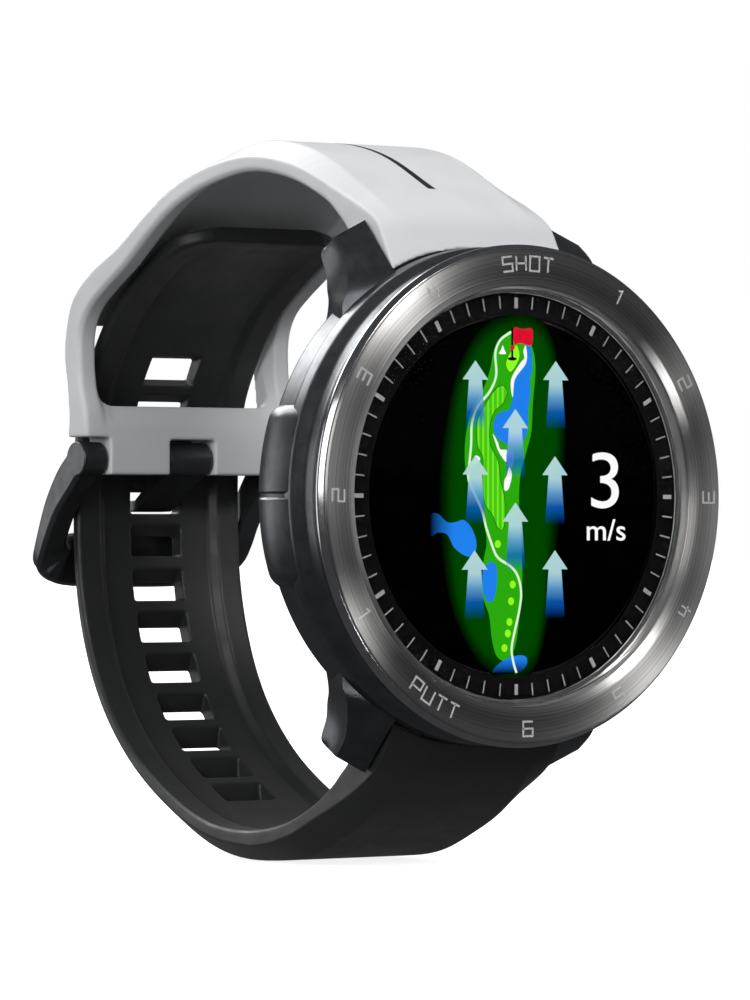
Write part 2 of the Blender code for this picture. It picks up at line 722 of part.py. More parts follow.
def make_spring_bar(name, end):
    """Quick-release spring bar: a tube with one fixed tip, and a sliding tip with its lever."""
    z = end * BAR_Z
    tube = rod(name + "_spring_bar", BAR_RADIUS, -10.5, 10.5, BAR_Y, z, BRIGHT)
    tip = rod(name + "_fixed_tip", TIP_RADIUS, -TIP_REACH, -10.0, BAR_Y, z, None, CUTTERS)
    boolean(tube, hide_cutter(tip), "UNION")
    bore = rod(name + "_tube_bore", 0.55, 2.0, 11.0, BAR_Y, z, None, CUTTERS)
    boolean(tube, hide_cutter(bore))
    slot = box(name + "_tube_slot", (4.7, BAR_Y, z - 0.55), (8.6, BAR_Y + 2, z + 0.55), None, CUTTERS)
    boolean(tube, hide_cutter(slot))
    pin = rod(name + "_release_pin", TIP_RADIUS, 6.0, TIP_REACH, BAR_Y, z, BRIGHT)
    lever = box(name + "_lever", (6.6, BAR_Y, z - 0.4), (8.2, 1.5, z + 0.4), None, CUTTERS)
    boolean(pin, hide_cutter(lever), "UNION")
    hinged_at(coil(name + "_bar_spring", 0.33, 0.07, 2.2, 4.3, 4.0, BAR_Y, z, BRIGHT), BAR_Y, z)


# ---------------------------------------------------------------- buckle

# Half of the frame from the hinge knuckle round to the middle of its end bar: centre
# X, Y and Z, half width in the frame's plane, half thickness.
FRAME_PATH = [
    (-11.9, 47.6, 3.7, 1.4, 1.6),
    (-11.9, 49.7, 1.9, 1.4, 1.65),
    (-11.9, 51.9, -0.5, 1.4, 1.35),
    (-11.9, 53.2, -2.6, 1.4, 1.15),
    (-11.8, 54.2, -4.6, 1.5, 1.0),
    (-11.1, 55.0, -5.9, 2.1, 0.9),
    (-9.4, 56.05, -6.3, 2.6, 0.8),
    (-6.5, 56.3, -6.3, 2.9, 0.75),
    (-3.0, 56.4, -6.3, 3.0, 0.75),
    (0.0, 56.4, -6.3, 3.0, 0.75),
]


def frame_sections():
    half = [Vector(row[:3]) for row in FRAME_PATH]
    path = half + [Vector((-p.x, p.y, p.z)) for p in reversed(half[:-1])]
    sizes = [row[3:] for row in FRAME_PATH]
    sizes = sizes + list(reversed(sizes[:-1]))
    sections = []
    for i, centre in enumerate(path):
        before = path[max(i - 1, 0)]
        after = path[min(i + 1, len(path) - 1)]
        along = (after - before).normalized()
        blade = Vector((0, 0.62, -0.78)) if abs(centre.x) > 11 else Vector((0, 0.25, -0.97))
        face = Vector((1, 0, 0)).cross(blade)
        wide = along.cross(face).normalized()
        deep = wide.cross(along).normalized()
        width, depth = sizes[i]
        bevel = 0.35
        corners = [
            (width, depth - bevel),
            (width - bevel, depth),
            (-width + bevel, depth),
            (-width, depth - bevel),
            (-width, -depth + bevel),
            (-width + bevel, -depth),
            (width - bevel, -depth),
            (width, -depth + bevel),
        ]
        sections.append([centre + wide * u + deep * v for u, v in corners])
    return sections


def make_buckle():
    frame = hinged_at(loft("buckle_frame", frame_sections(), BUCKLE_METAL), PIN_Y, PIN_Z)
    for side in (-1, 1):
        low, high = sorted((side * ARM_INNER, side * ARM_OUTER))
        knuckle = rod(f"frame_knuckle_{side}", KNUCKLE_RADIUS, low, high, PIN_Y, PIN_Z, None, CUTTERS, 24)
        boolean(frame, hide_cutter(knuckle), "UNION")
    bore = rod("frame_bore", 0.75, -12.85, 12.85, PIN_Y, PIN_Z, None, CUTTERS)
    boolean(frame, hide_cutter(bore))
    shade(frame)
    prong_outline = [
        (45.9, 2.9),
        (48.0, 1.6),
        (50.6, -0.1),
        (52.0, -1.0),
        (52.8, -1.3),
        (54.7, -1.35),
        (55.1, -0.95),
        (55.0, -0.3),
        (54.4, -0.2),
        (52.6, -0.1),
        (50.8, 1.2),
        (48.4, 5.0),
    ]
    prong = side_plate("buckle_prong", prong_outline, -2.4, 2.4, BUCKLE_METAL)
    hinged_at(prong, PIN_Y, PIN_Z)
    knuckle = rod("prong_knuckle", KNUCKLE_RADIUS, -2.55, 2.55, PIN_Y, PIN_Z, None, CUTTERS, 24)
    boolean(prong, hide_cutter(knuckle), "UNION")
    bore = rod("prong_bore", 0.75, -4, 4, PIN_Y, PIN_Z, None, CUTTERS)
    boolean(prong, hide_cutter(bore))
    rod("buckle_pin", PIN_RADIUS, -12.6, 12.6, PIN_Y, PIN_Z, BRIGHT)


make_case()
make_side_guard()
make_bezel_and_lens()
make_display()
make_electronics()
make_back()
make_button("upper_button", BUTTON_Z)
make_button("lower_button", -BUTTON_Z)
make_upper_strap()
make_lower_strap()
make_spring_bar("upper", 1)
make_spring_bar("lower", -1)
make_buckle()
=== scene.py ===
"""Looks of the golf GPS watch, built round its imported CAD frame.

The frame's +X is 3 o'clock, +Z is 12 o'clock and the dial faces -Y. Sizes of pieces are in
millimetres and are turned into metres by MM. A height is measured out of the case back
towards the dial, which is along -Y.
"""

import json
import math

import bmesh
import bpy
from mathutils import Matrix, Vector


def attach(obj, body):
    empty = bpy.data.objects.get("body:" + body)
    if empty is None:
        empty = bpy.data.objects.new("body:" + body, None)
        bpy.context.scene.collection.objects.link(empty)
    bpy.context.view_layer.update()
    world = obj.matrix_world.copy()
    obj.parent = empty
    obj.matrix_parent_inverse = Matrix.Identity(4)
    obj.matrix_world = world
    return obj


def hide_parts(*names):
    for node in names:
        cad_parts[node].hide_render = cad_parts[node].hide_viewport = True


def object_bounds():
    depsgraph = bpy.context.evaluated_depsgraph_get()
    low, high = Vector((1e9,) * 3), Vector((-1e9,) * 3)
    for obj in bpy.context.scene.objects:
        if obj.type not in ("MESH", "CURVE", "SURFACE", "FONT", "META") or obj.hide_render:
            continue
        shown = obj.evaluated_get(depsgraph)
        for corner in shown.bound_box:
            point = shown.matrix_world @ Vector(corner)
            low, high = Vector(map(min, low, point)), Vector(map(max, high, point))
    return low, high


MM = 0.001

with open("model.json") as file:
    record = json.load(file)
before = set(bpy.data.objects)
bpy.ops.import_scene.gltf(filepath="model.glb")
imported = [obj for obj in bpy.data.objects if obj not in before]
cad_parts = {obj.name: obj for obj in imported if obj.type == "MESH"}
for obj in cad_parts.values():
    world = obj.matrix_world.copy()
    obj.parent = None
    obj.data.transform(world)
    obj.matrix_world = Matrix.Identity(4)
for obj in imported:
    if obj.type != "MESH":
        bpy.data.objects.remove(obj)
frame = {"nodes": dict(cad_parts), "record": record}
cad_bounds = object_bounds()

# Joint axes and driving sizes, as in the CAD part.
BAR_Y = -0.9
BAR_Z = 24.5
PIN_Y = 47.1
PIN_Z = 4.1
KNUCKLE_RADIUS = 1.8
ARM_INNER = 10.5
ARM_OUTER = 13.3
SLOT_PITCH = 4.55
SLOT_HEIGHT = 3.35
SLOT_HALF_WIDTH = 3.1
SLOT_SLOPE = 0.75
SLOT_CUT_DEPTH = 4.5
SLOT_MOUTH = 0.3
BUTTON_Z = 8.0
BUTTON_HEIGHT = 5.0
BEZEL_TOP = 12.4
SCREEN_HEIGHT = 10.37


# ---------------------------------------------------------------- mesh helpers


def add(name, mesh, surface, matrix=None):
    made = bpy.data.objects.new(name, mesh)
    bpy.context.scene.collection.objects.link(made)
    if surface is not None:
        mesh.materials.append(surface)
    if matrix is not None:
        made.matrix_world = matrix
    return made


def finished(made, name, surface=None, matrix=None):
    """An object from a bmesh, which is freed."""
    mesh = bpy.data.meshes.new(name)
    made.to_mesh(mesh)
    made.free()
    return add(name, mesh, surface, matrix)


def evaluated(obj):
    """Replaces the object's mesh with the one its modifiers make."""
    bpy.context.view_layer.update()
    graph = bpy.context.evaluated_depsgraph_get()
    mesh = bpy.data.meshes.new_from_object(obj.evaluated_get(graph))
    obj.modifiers.clear()
    obj.data = mesh
    return obj


def combine(obj, other, operation="DIFFERENCE"):
    """Cuts the other solid from this one, or joins it, and removes the other."""
    modifier = obj.modifiers.new("Combine", "BOOLEAN")
    modifier.object = other
    modifier.operation = operation
    modifier.solver = "EXACT"
    evaluated(obj)
    bpy.data.objects.remove(other, do_unlink=True)
    return obj


def moulded(obj, voxel, passes):
    """Rounds every edge as a mould or a polish does, by a fine remesh and a smoothing."""
    remesh = obj.modifiers.new("Remesh", "REMESH")
    remesh.mode = "VOXEL"
    remesh.voxel_size = voxel * MM
    remesh.use_smooth_shade = True
    smooth = obj.modifiers.new("Smooth", "SMOOTH")
    smooth.factor = 0.5
    smooth.iterations = passes
    evaluated(obj)
    obj.data.shade_smooth()
    return obj


def bevelled(obj, width, segments=3, angle=25):
    modifier = obj.modifiers.new("Edges", "BEVEL")
    modifier.width = width * MM
    modifier.segments = segments
    modifier.limit_method = "ANGLE"
    modifier.angle_limit = math.radians(angle)
    modifier.harden_normals = True
    obj.data.shade_smooth()
    return evaluated(obj)


def shaded(obj, angle=30):
    obj.data.shade_smooth()
    obj.data.set_sharp_from_angle(angle=math.radians(angle))
    return obj


def placed(obj, body, slot, *nodes):
    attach(obj, body)
    if nodes:
        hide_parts(*nodes)
    return obj


FACING = Matrix.Rotation(math.radians(90), 4, "X")
ALONG_X = Matrix(((0, 0, 1, 0), (1, 0, 0, 0), (0, 1, 0, 0), (0, 0, 0, 1)))


def facing_at(x, z):
    return Matrix.Translation((x * MM, 0, z * MM)) @ FACING


def along_x_at(y, z, x=0.0):
    return Matrix.Translation((x * MM, y * MM, z * MM)) @ ALONG_X


def rounded(profile, radius, steps=4):
    """The profile with each corner off the axis turned into a short arc."""
    found = []
    count = len(profile)
    closed = profile[0][0] > 0
    for i, point in enumerate(profile):
        if point[0] == 0 or (not closed and i in (0, count - 1)):
            found.append(point)
            continue
        corner = Vector(point)
        before = Vector(profile[i - 1]) - corner
        after = Vector(profile[(i + 1) % count]) - corner
        start = corner + before.normalized() * min(radius, before.length * 0.45)
        end = corner + after.normalized() * min(radius, after.length * 0.45)
        for step in range(steps + 1):
            t = step / steps
            place = start * (1 - t) ** 2 + corner * 2 * t * (1 - t) + end * t**2
            found.append(tuple(place))
    return found


def turned(name, profile, surface, segments=256, matrix=FACING):
    """A solid turned about its local Z axis, from a profile of (radius, height)."""
    made = bmesh.new()
    rings = []
    for radius, height in profile:
        if radius == 0:
            rings.append([made.verts.new((0, 0, height * MM))])
            continue
        ring = []
        for i in range(segments):
            turn = math.tau * i / segments
            spot = (radius * MM * math.cos(turn), radius * MM * math.sin(turn), height * MM)
            ring.append(made.verts.new(spot))
        rings.append(ring)
    pairs = list(zip(rings, rings[1:]))
    if profile[0][0] > 0:
        pairs.append((rings[-1], rings[0]))
    for first, second in pairs:
        for i in range(segments):
            j = (i + 1) % segments
            if len(first) == 1:
                made.faces.new((first[0], second[i], second[j]))
            elif len(second) == 1:
                made.faces.new((first[i], second[0], first[j]))
            else:
                made.faces.new((first[i], second[i], second[j], first[j]))
    bmesh.ops.recalc_face_normals(made, faces=made.faces)
    return shaded(finished(made, name, surface, matrix))


def rod(name, radius, start, end, y, z, surface=None, sides=64):
    profile = [(0, end), (radius, end), (radius, start), (0, start)]
    return turned(name, profile, surface, sides, along_x_at(y, z))


def box(name, low, high, surface=None):
    made = bmesh.new()
    bmesh.ops.create_cube(made, size=1.0)
    for vertex in made.verts:
        for axis in range(3):
            middle = (low[axis] + high[axis]) / 2
            vertex.co[axis] = (middle + vertex.co[axis] * (high[axis] - low[axis])) * MM
    return finished(made, name, surface)


def loft(name, sections, surface):
    """A solid through sections that have the same number of points."""
    made = bmesh.new()
    rings = [[made.verts.new(Vector(p) * MM) for p in section] for section in sections]
    count = len(sections[0])
    for first, second in zip(rings, rings[1:]):
        for i in range(count):
            j = (i + 1) % count
            made.faces.new((first[i], first[j], second[j], second[i]))
    made.faces.new(list(reversed(rings[0])))
    made.faces.new(rings[-1])
    bmesh.ops.recalc_face_normals(made, faces=made.faces)
    return finished(made, name, surface)


def plate(name, outline, low, high, surface=None):
    """A flat outline in Y and Z, given thickness from low to high in X."""
    sections = [[(x, y, z) for y, z in outline] for x in (low, high)]
    return loft(name, sections, surface)


def smooth_rows(rows, steps, closed=False):
    """Catmull-Rom values between rows of numbers, with steps values for each span."""
    padded = [rows[-1], *rows, rows[0], rows[1]] if closed else [rows[0], *rows, rows[-1]]
    found = []
    for before, first, second, after in zip(padded, padded[1:], padded[2:], padded[3:]):
        for step in range(steps):
            t = step / steps
            found.append(
                [
                    0.5
                    * (
                        2 * b
                        + (c - a) * t
                        + (2 * a - 5 * b + 4 * c - d) * t * t
                        + (3 * b - a - 3 * c + d) * t * t * t
                    )
                    for a, b, c, d in zip(before, first, second, after)
                ]
            )
    if not closed:
        found.append(list(rows[-1]))
    return found


def flat_shape(name, outline, height, surface, steps=5):
    """A filled outline in dial X and Z at a height over the case back, facing the eye."""
    points = smooth_rows(outline, steps, True) if steps else outline
    made = bmesh.new()
    face = made.faces.new([made.verts.new((x * MM, -height * MM, z * MM)) for x, z in points])
    made.normal_update()
    if face.normal.y > 0:
        face.normal_flip()
    bmesh.ops.triangulate(made, faces=made.faces)
    return finished(made, name, surface)


def ribbon_faces(made, points, width, height, thick, closed=False):
    """Adds a flat ribbon of one width along points in X and Z, with mitred corners."""
    spots = [Vector(p) for p in points]
    count = len(spots)
    left, right = [], []
    for i, spot in enumerate(spots):
        before = spots[i - 1] if i or closed else None
        after = spots[(i + 1) % count] if i < count - 1 or closed else None
        into = (spot - before).normalized() if before is not None else None
        out = (after - spot).normalized() if after is not None else None
        into = into or out
        out = out or into
        mean = (into + out).normalized()
        normal = Vector((-mean.y, mean.x))
        reach = width / 2 / max(0.4, mean.dot(out))
        left.append(spot + normal * reach)
        right.append(spot - normal * reach)
    low = [[made.verts.new((p.x, p.y, height)) for p in side] for side in (left, right)]
    high = [[made.verts.new((p.x, p.y, height + thick)) for p in side] for side in (left, right)]
    spans = range(count if closed else count - 1)
    for i in spans:
        j = (i + 1) % count
        made.faces.new((high[0][i], high[1][i], high[1][j], high[0][j]))
        made.faces.new((low[0][i], low[0][j], low[1][j], low[1][i]))
        made.faces.new((low[0][i], high[0][i], high[0][j], low[0][j]))
        made.faces.new((low[1][i], low[1][j], high[1][j], high[1][i]))
    if not closed:
        for i in (0, count - 1):
            made.faces.new((low[0][i], low[1][i], high[1][i], high[0][i]))


def ribbons(name, lines, width, height, thick, surface):
    """One mesh of flat ribbons. Each line is (points, closed) in X and Z, in millimetres."""
    made = bmesh.new()
    for points, closed in lines:
        ribbon_faces(made, points, width, height, thick, closed)
    bmesh.ops.recalc_face_normals(made, faces=made.faces)
    for vertex in made.verts:
        x, z, rise = vertex.co
        vertex.co = Vector((x, -rise, z)) * MM
    bmesh.ops.reverse_faces(made, faces=made.faces)
    return finished(made, name, surface)


# ---------------------------------------------------------------- materials


def linear(red, green, blue):
    """A screen colour from 0 to 255 as linear light."""
    found = []
    for value in (red, green, blue):
        part = value / 255
        found.append(part / 12.92 if part <= 0.04045 else ((part + 0.055) / 1.055) ** 2.4)
    return (*found, 1.0)


class Shader:
    """A Principled material with short ways to add procedural nodes to it."""

    def __init__(self, name, roughness=0.5, metallic=0.0, **sockets):
        self.material = bpy.data.materials.new(name)
        self.material.use_nodes = True
        self.nodes = self.material.node_tree.nodes
        self.links = self.material.node_tree.links
        self.base = self.nodes["Principled BSDF"]
        self.base.inputs["Roughness"].default_value = roughness
        self.base.inputs["Metallic"].default_value = metallic
        for socket, value in sockets.items():
            self.base.inputs[socket.replace("_", " ")].default_value = value
        self.coordinates = self.nodes.new("ShaderNodeTexCoord").outputs["Object"]

    def noise(self, scale, detail=3.0):
        node = self.nodes.new("ShaderNodeTexNoise")
        node.inputs["Scale"].default_value = scale
        node.inputs["Detail"].default_value = detail
        self.links.new(self.coordinates, node.inputs["Vector"])
        return node.outputs["Fac"]

    def noise_1d(self, place, scale, detail=2.0):
        node = self.nodes.new("ShaderNodeTexNoise")
        node.noise_dimensions = "1D"
        node.inputs["Scale"].default_value = scale
        node.inputs["Detail"].default_value = detail
        self.links.new(place, node.inputs["W"])
        return node.outputs["Fac"]

    def math(self, operation, first, second=None):
        node = self.nodes.new("ShaderNodeMath")
        node.operation = operation
        for slot, value in enumerate((first, second)):
            if value is None:
                continue
            if isinstance(value, (int, float)):
                node.inputs[slot].default_value = value
            else:
                self.links.new(value, node.inputs[slot])
        return node.outputs[0]

    def spread(self, source, low, high, start=0.3, end=0.7):
        node = self.nodes.new("ShaderNodeMapRange")
        node.inputs["From Min"].default_value = start
        node.inputs["From Max"].default_value = end
        node.inputs["To Min"].default_value = low
        node.inputs["To Max"].default_value = high
        self.links.new(source, node.inputs["Value"])
        return node.outputs["Result"]

    def ramp(self, source, stops):
        node = self.nodes.new("ShaderNodeValToRGB")
        ramp = node.color_ramp
        for i, (place, colour) in enumerate(stops):
            stop = ramp.elements[i] if i < 2 else ramp.elements.new(place)
            stop.position = place
            stop.color = colour
        self.links.new(source, node.inputs["Fac"])
        return node.outputs["Color"]

    def colour(self, source, dark, light, socket="Base Color", start=0.3, end=0.7):
        found = self.ramp(source, [(start, dark), (end, light)])
        self.links.new(found, self.base.inputs[socket])
        return found

    def roughness(self, source, low, high):
        self.links.new(self.spread(source, low, high), self.base.inputs["Roughness"])

    def bump(self, source, strength, distance=0.00002):
        node = self.nodes.new("ShaderNodeBump")
        node.inputs["Strength"].default_value = strength
        node.inputs["Distance"].default_value = distance
        self.links.new(source, node.inputs["Height"])
        self.links.new(node.outputs["Normal"], self.base.inputs["Normal"])

    def local(self, axis):
        """The place along one of the piece's own axes, in metres."""
        split = self.nodes.new("ShaderNodeSeparateXYZ")
        self.links.new(self.coordinates, split.inputs["Vector"])
        return split.outputs[axis]

    def radius(self):
        """Distance from the axis of a turned piece, in metres, which is its local Z."""
        places = [self.local(axis) for axis in "XY"]
        squares = [self.math("MULTIPLY", place, place) for place in places]
        return self.math("SQRT", self.math("ADD", *squares))


def grained(name, dark, light, rough, grain, strength, metallic=0.0, patch=500.0, **sockets):
    """A moulded or coated surface: mottled colour, uneven gloss and a fine grain."""
    made = Shader(name, rough[0], metallic, **sockets)
    made.colour(made.noise(patch, 4.0), dark, light)
    made.roughness(made.noise(patch * 2.3, 5.0), *rough)
    made.bump(made.noise(grain, 2.0), strength)
    return made.material


def turned_steel(name, dark, light, rough, lines=8000.0, strength=0.35, **sockets):
    """Metal with fine rings cut round the dial axis."""
    made = Shader(name, rough[0], 1.0, **sockets)
    distance = made.radius()
    rings = made.noise_1d(distance, lines, 4.0)
    broad = made.noise_1d(distance, lines / 12)
    mixed = made.math("ADD", made.math("MULTIPLY", rings, 0.6), made.math("MULTIPLY", broad, 0.4))
    made.colour(mixed, dark, light)
    made.roughness(rings, *rough)
    made.bump(rings, strength, 0.000004)
    tangent = made.nodes.new("ShaderNodeTangent")
    tangent.direction_type = "RADIAL"
    tangent.axis = "Z"
    made.links.new(tangent.outputs["Tangent"], made.base.inputs["Tangent"])
    return made.material


def glowing(name):
    """A black material without gloss, which is to be given a colour of its own light."""
    made = Shader(name, 0.5, 0.0, Specular_IOR_Level=0.0)
    made.base.inputs["Base Color"].default_value = (0, 0, 0, 1)
    made.base.inputs["Emission Strength"].default_value = 1.0
    return made


def screen_light(name, colour, variation=0.06):
    """A lit area of the display, with the faint unevenness of its dots."""
    made = glowing(name)
    dark = tuple(c * (1 - variation) for c in colour[:3]) + (1.0,)
    made.colour(made.noise(2500.0, 2.0), dark, colour, "Emission Color")
    return made.material


def grey(value):
    return (value, value, value, 1.0)


GUNMETAL = grained(
    "gunmetal_satin",
    (0.062, 0.067, 0.072, 1),
    (0.085, 0.091, 0.098, 1),
    (0.27, 0.35),
    16000.0,
    0.04,
    metallic=0.85,
)
BEZEL_STEEL = turned_steel(
    "bezel_brushed_steel",
    (0.19, 0.186, 0.182, 1),
    (0.46, 0.452, 0.445, 1),
    (0.32, 0.44),
    Anisotropic=0.93,
    Anisotropic_Rotation=0.25,
)
POLISHED = grained(
    "polished_edge_steel", (0.34, 0.34, 0.35, 1), (0.4, 0.4, 0.41, 1), (0.14, 0.2), 20000.0, 0.005, 1.0
)
BACK_STEEL = turned_steel(
    "back_brushed_steel", (0.26, 0.26, 0.265, 1), (0.42, 0.42, 0.42, 1), (0.26, 0.4), Anisotropic=0.6
)
BRIGHT = grained(
    "bright_steel_pins", (0.4, 0.4, 0.41, 1), (0.5, 0.5, 0.51, 1), (0.22, 0.3), 24000.0, 0.01, 1.0
)
WHITE_RUBBER = grained(
    "white_strap_rubber",
    (0.66, 0.675, 0.685, 1),
    (0.71, 0.722, 0.732, 1),
    (0.42, 0.55),
    9000.0,
    0.10,
    patch=160.0,
    Sheen_Weight=0.08,
)
BLACK_RUBBER = grained(
    "black_strap_rubber",
    (0.0105, 0.0115, 0.0115, 1),
    (0.0155, 0.0165, 0.0165, 1),
    (0.42, 0.55),
    9000.0,
    0.12,
    patch=180.0,
    Sheen_Weight=0.1,
)
SEAL = grained("seal_rubber_grain", grey(0.012), grey(0.02), (0.6, 0.75), 14000.0, 0.1)
BUCKLE = grained(
    "buckle_coating",
    (0.066, 0.069, 0.072, 1),
    (0.088, 0.092, 0.096, 1),
    (0.3, 0.4),
    15000.0,
    0.05,
    metallic=0.8,
)
DIAL = grained(
    "dial_ring_black", grey(0.0008), grey(0.0014), (0.5, 0.6), 12000.0, 0.05, Specular_IOR_Level=0.02
)
PLASTIC = grained("inner_moulded_plastic", grey(0.03), grey(0.045), (0.45, 0.6), 9000.0, 0.2)
BOARD = grained(
    "circuit_board", (0.006, 0.06, 0.025, 1), (0.012, 0.1, 0.045, 1), (0.35, 0.5), 3000.0, 0.3
)
CHIP = grained("chip_package", grey(0.012), grey(0.022), (0.4, 0.55), 9000.0, 0.15)
FOIL = grained("battery_foil_wrap", grey(0.45), grey(0.6), (0.28, 0.45), 1500.0, 0.3, 0.9)
GOLD = grained(
    "contact_gold_plate", (0.62, 0.43, 0.16, 1), (0.78, 0.56, 0.22, 1), (0.2, 0.34), 15000.0, 0.05, 1.0
)
PAINT = grained(
    "scale_paint_fill", grey(0.56), grey(0.63), (0.6, 0.7), 12000.0, 0.05, Specular_IOR_Level=0.2
)
MARKS = grained("minute_mark_ink", grey(0.16), grey(0.19), (0.55, 0.65), 12000.0, 0.03)
STRIPE = grained("strap_stripe_ink", grey(0.006), grey(0.009), (0.45, 0.6), 9000.0, 0.05)
SENSOR_GLASS = grained(
    "sensor_window_glass", grey(0.004), grey(0.007), (0.05, 0.09), 3000.0, 0.01, Coat_Weight=0.5
)
LED_GREEN = grained(
    "sensor_led_green", (0.02, 0.16, 0.05, 1), (0.03, 0.25, 0.08, 1), (0.2, 0.3), 9000.0, 0.05
)
SENSOR_CELL = grained(
    "sensor_photo_cell", (0.02, 0.022, 0.035, 1), (0.03, 0.034, 0.055, 1), (0.15, 0.25), 6000.0, 0.05
)


def lens_glass():
    """Clear cover glass with a coating that cuts its reflections."""
    made = Shader("cover_glass_clear", 0.0, 0.0, IOR=1.04)
    made.base.inputs["Transmission Weight"].default_value = 1.0
    made.colour(made.noise(300.0), (0.97, 0.975, 0.98, 1), (1, 1, 1, 1))
    return made.material


LENS = lens_glass()

SLOT_SURFACES = {
    "gunmetal_case": GUNMETAL,
    "brushed_steel": BACK_STEEL,
    "bright_steel": BRIGHT,
    "white_rubber": WHITE_RUBBER,
    "black_rubber": BLACK_RUBBER,
    "seal_rubber": SEAL,
    "buckle_metal": BUCKLE,
    "lens_glass": LENS,
    "screen": CHIP,
    "dial_black": DIAL,
    "inner_plastic": PLASTIC,
    "board_green": BOARD,
    "chip_black": CHIP,
    "battery_foil": FOIL,
    "contact_gold": GOLD,
}


def dress_cad_nodes():
    """Gives every CAD node the finish of its material slot."""
    for part in frame["record"]["subparts"]:
        node = frame["nodes"][part["node"]]
        node.data.materials.clear()
        node.data.materials.append(SLOT_SURFACES[part["material_slot"]])


# ---------------------------------------------------------------- case

CASE_PROFILE = [
    (22.8, 11.05), (23.5, 11.05), (23.7, 10.8), (23.35, 9.6), (23.45, 8.5), (24.15, 7.1),
    (24.15, 5.4), (23.75, 5.1), (23.55, 2.0), (22.7, 0.9), (21.0, 0.5), (19.8, 0.5), (19.8, 2.1),
    (18.0, 2.1), (18.0, 3.2), (21.2, 3.2), (21.2, 9.5), (22.8, 9.5),
]


# Sections of one lug from its root to its tip: inner front, outer front, the middle of the
# scooped outer side, outer back and inner back.
LUG_SECTIONS = [
    [(11.0, -7.0, 18.6), (16.8, -6.2, 14.2), (16.5, -3.2, 14.2), (16.1, -0.8, 14.4), (11.0, 0.2, 18.7)],
    [(11.0, -6.9, 19.6), (16.8, -5.2, 17.6), (15.8, -2.4, 17.8), (14.8, -0.1, 18.2), (11.0, 1.0, 19.0)],
    [(11.0, -6.4, 21.0), (16.0, -4.9, 19.6), (15.1, -2.0, 19.7), (14.5, 0.5, 19.9), (11.0, 1.3, 21.0)],
    [(11.0, -5.0, 22.3), (15.3, -4.0, 21.6), (14.7, -1.8, 21.6), (14.4, 0.8, 21.4), (11.0, 1.6, 22.6)],
    [(11.0, -3.0, 24.4), (15.0, -3.0, 23.5), (14.5, -1.0, 23.4), (14.5, 1.5, 23.3), (11.0, 1.7, 23.8)],
    [(11.0, -0.9, 26.7), (14.8, -1.3, 25.0), (14.4, 0.0, 24.6), (14.2, 1.2, 24.1), (11.0, 0.9, 25.8)],
]


def lug_sections(side, end):
    """Finer sections of one lug, whose outer side is scooped between its front and back edges."""
    flat = [[value for point in section for value in point] for section in LUG_SECTIONS]
    sections = []
    for row in smooth_rows(flat, 6):
        corners = [Vector(row[i : i + 3]) for i in range(0, 15, 3)]
        inner_front, outer_front, scoop, outer_back, inner_back = corners
        ring = [inner_front, inner_front.lerp(outer_front, 0.5)]
        for step in range(9):
            t = step / 8
            bent = scoop * 2 - (outer_front + outer_back) / 2
            ring.append(outer_front * (1 - t) ** 2 + bent * 2 * t * (1 - t) + outer_back * t**2)
        ring += [outer_back.lerp(inner_back, 0.5), inner_back]
        sections.append([(side * x, y, end * z) for x, y, z in ring])
    return sections


def make_case():
    body = turned("case_middle", rounded(CASE_PROFILE, 0.3), GUNMETAL)
    for end in (-1, 1):
        y = -BUTTON_HEIGHT
        pocket = box(
            "pocket", (21.4, y - 1.9, end * BUTTON_Z - 3.9), (27.0, y + 1.9, end * BUTTON_Z + 3.9)
        )
        combine(body, pocket)
    shaded(body)
    placed(body, "watch_case", "gunmetal_case", "case_body")
    for side in (-1, 1):
        for end in (-1, 1):
            name = ("right" if side > 0 else "left") + ("_upper" if end > 0 else "_lower") + "_lug"
            lug = loft(name, lug_sections(side, end), GUNMETAL)
            combine(lug, rod("hole", 0.58, -12.6, 12.6, BAR_Y, end * BAR_Z))
            bevelled(lug, 0.14, 3, 22)
            placed(lug, "watch_case", "gunmetal_case", "case_body")


GUARD_STEP_DEG = 0.4375
GUARD_NOTCH = 0.18
GUARD_FADE = 0.55


def make_side_guard():
    """A pad that follows the flank round 9 o'clock, notched at its middle and thin at its ends."""
    profile = [(23.4, 6.9), (24.12, 6.9), (24.6, 5.1), (24.62, 2.9), (24.2, 1.9), (23.2, 1.5)]
    sections = []
    for step in range(-48, 49):
        angle = math.radians(270 + step * GUARD_STEP_DEG)
        sunk = GUARD_NOTCH if abs(step) <= 1 else 0.0
        sunk += GUARD_FADE * max(0.0, (abs(step) - 40) / 8) ** 2
        section = []
        for radius, height in profile:
            reach = radius - sunk if radius > 24 else radius
            section.append((reach * math.sin(angle), -height, reach * math.cos(angle)))
        sections.append(section)
    guard = loft("side_guard_pad", sections, GUNMETAL)
    bevelled(guard, 0.16, 2, 30)
    placed(guard, "watch_case", "gunmetal_case", "side_guard")


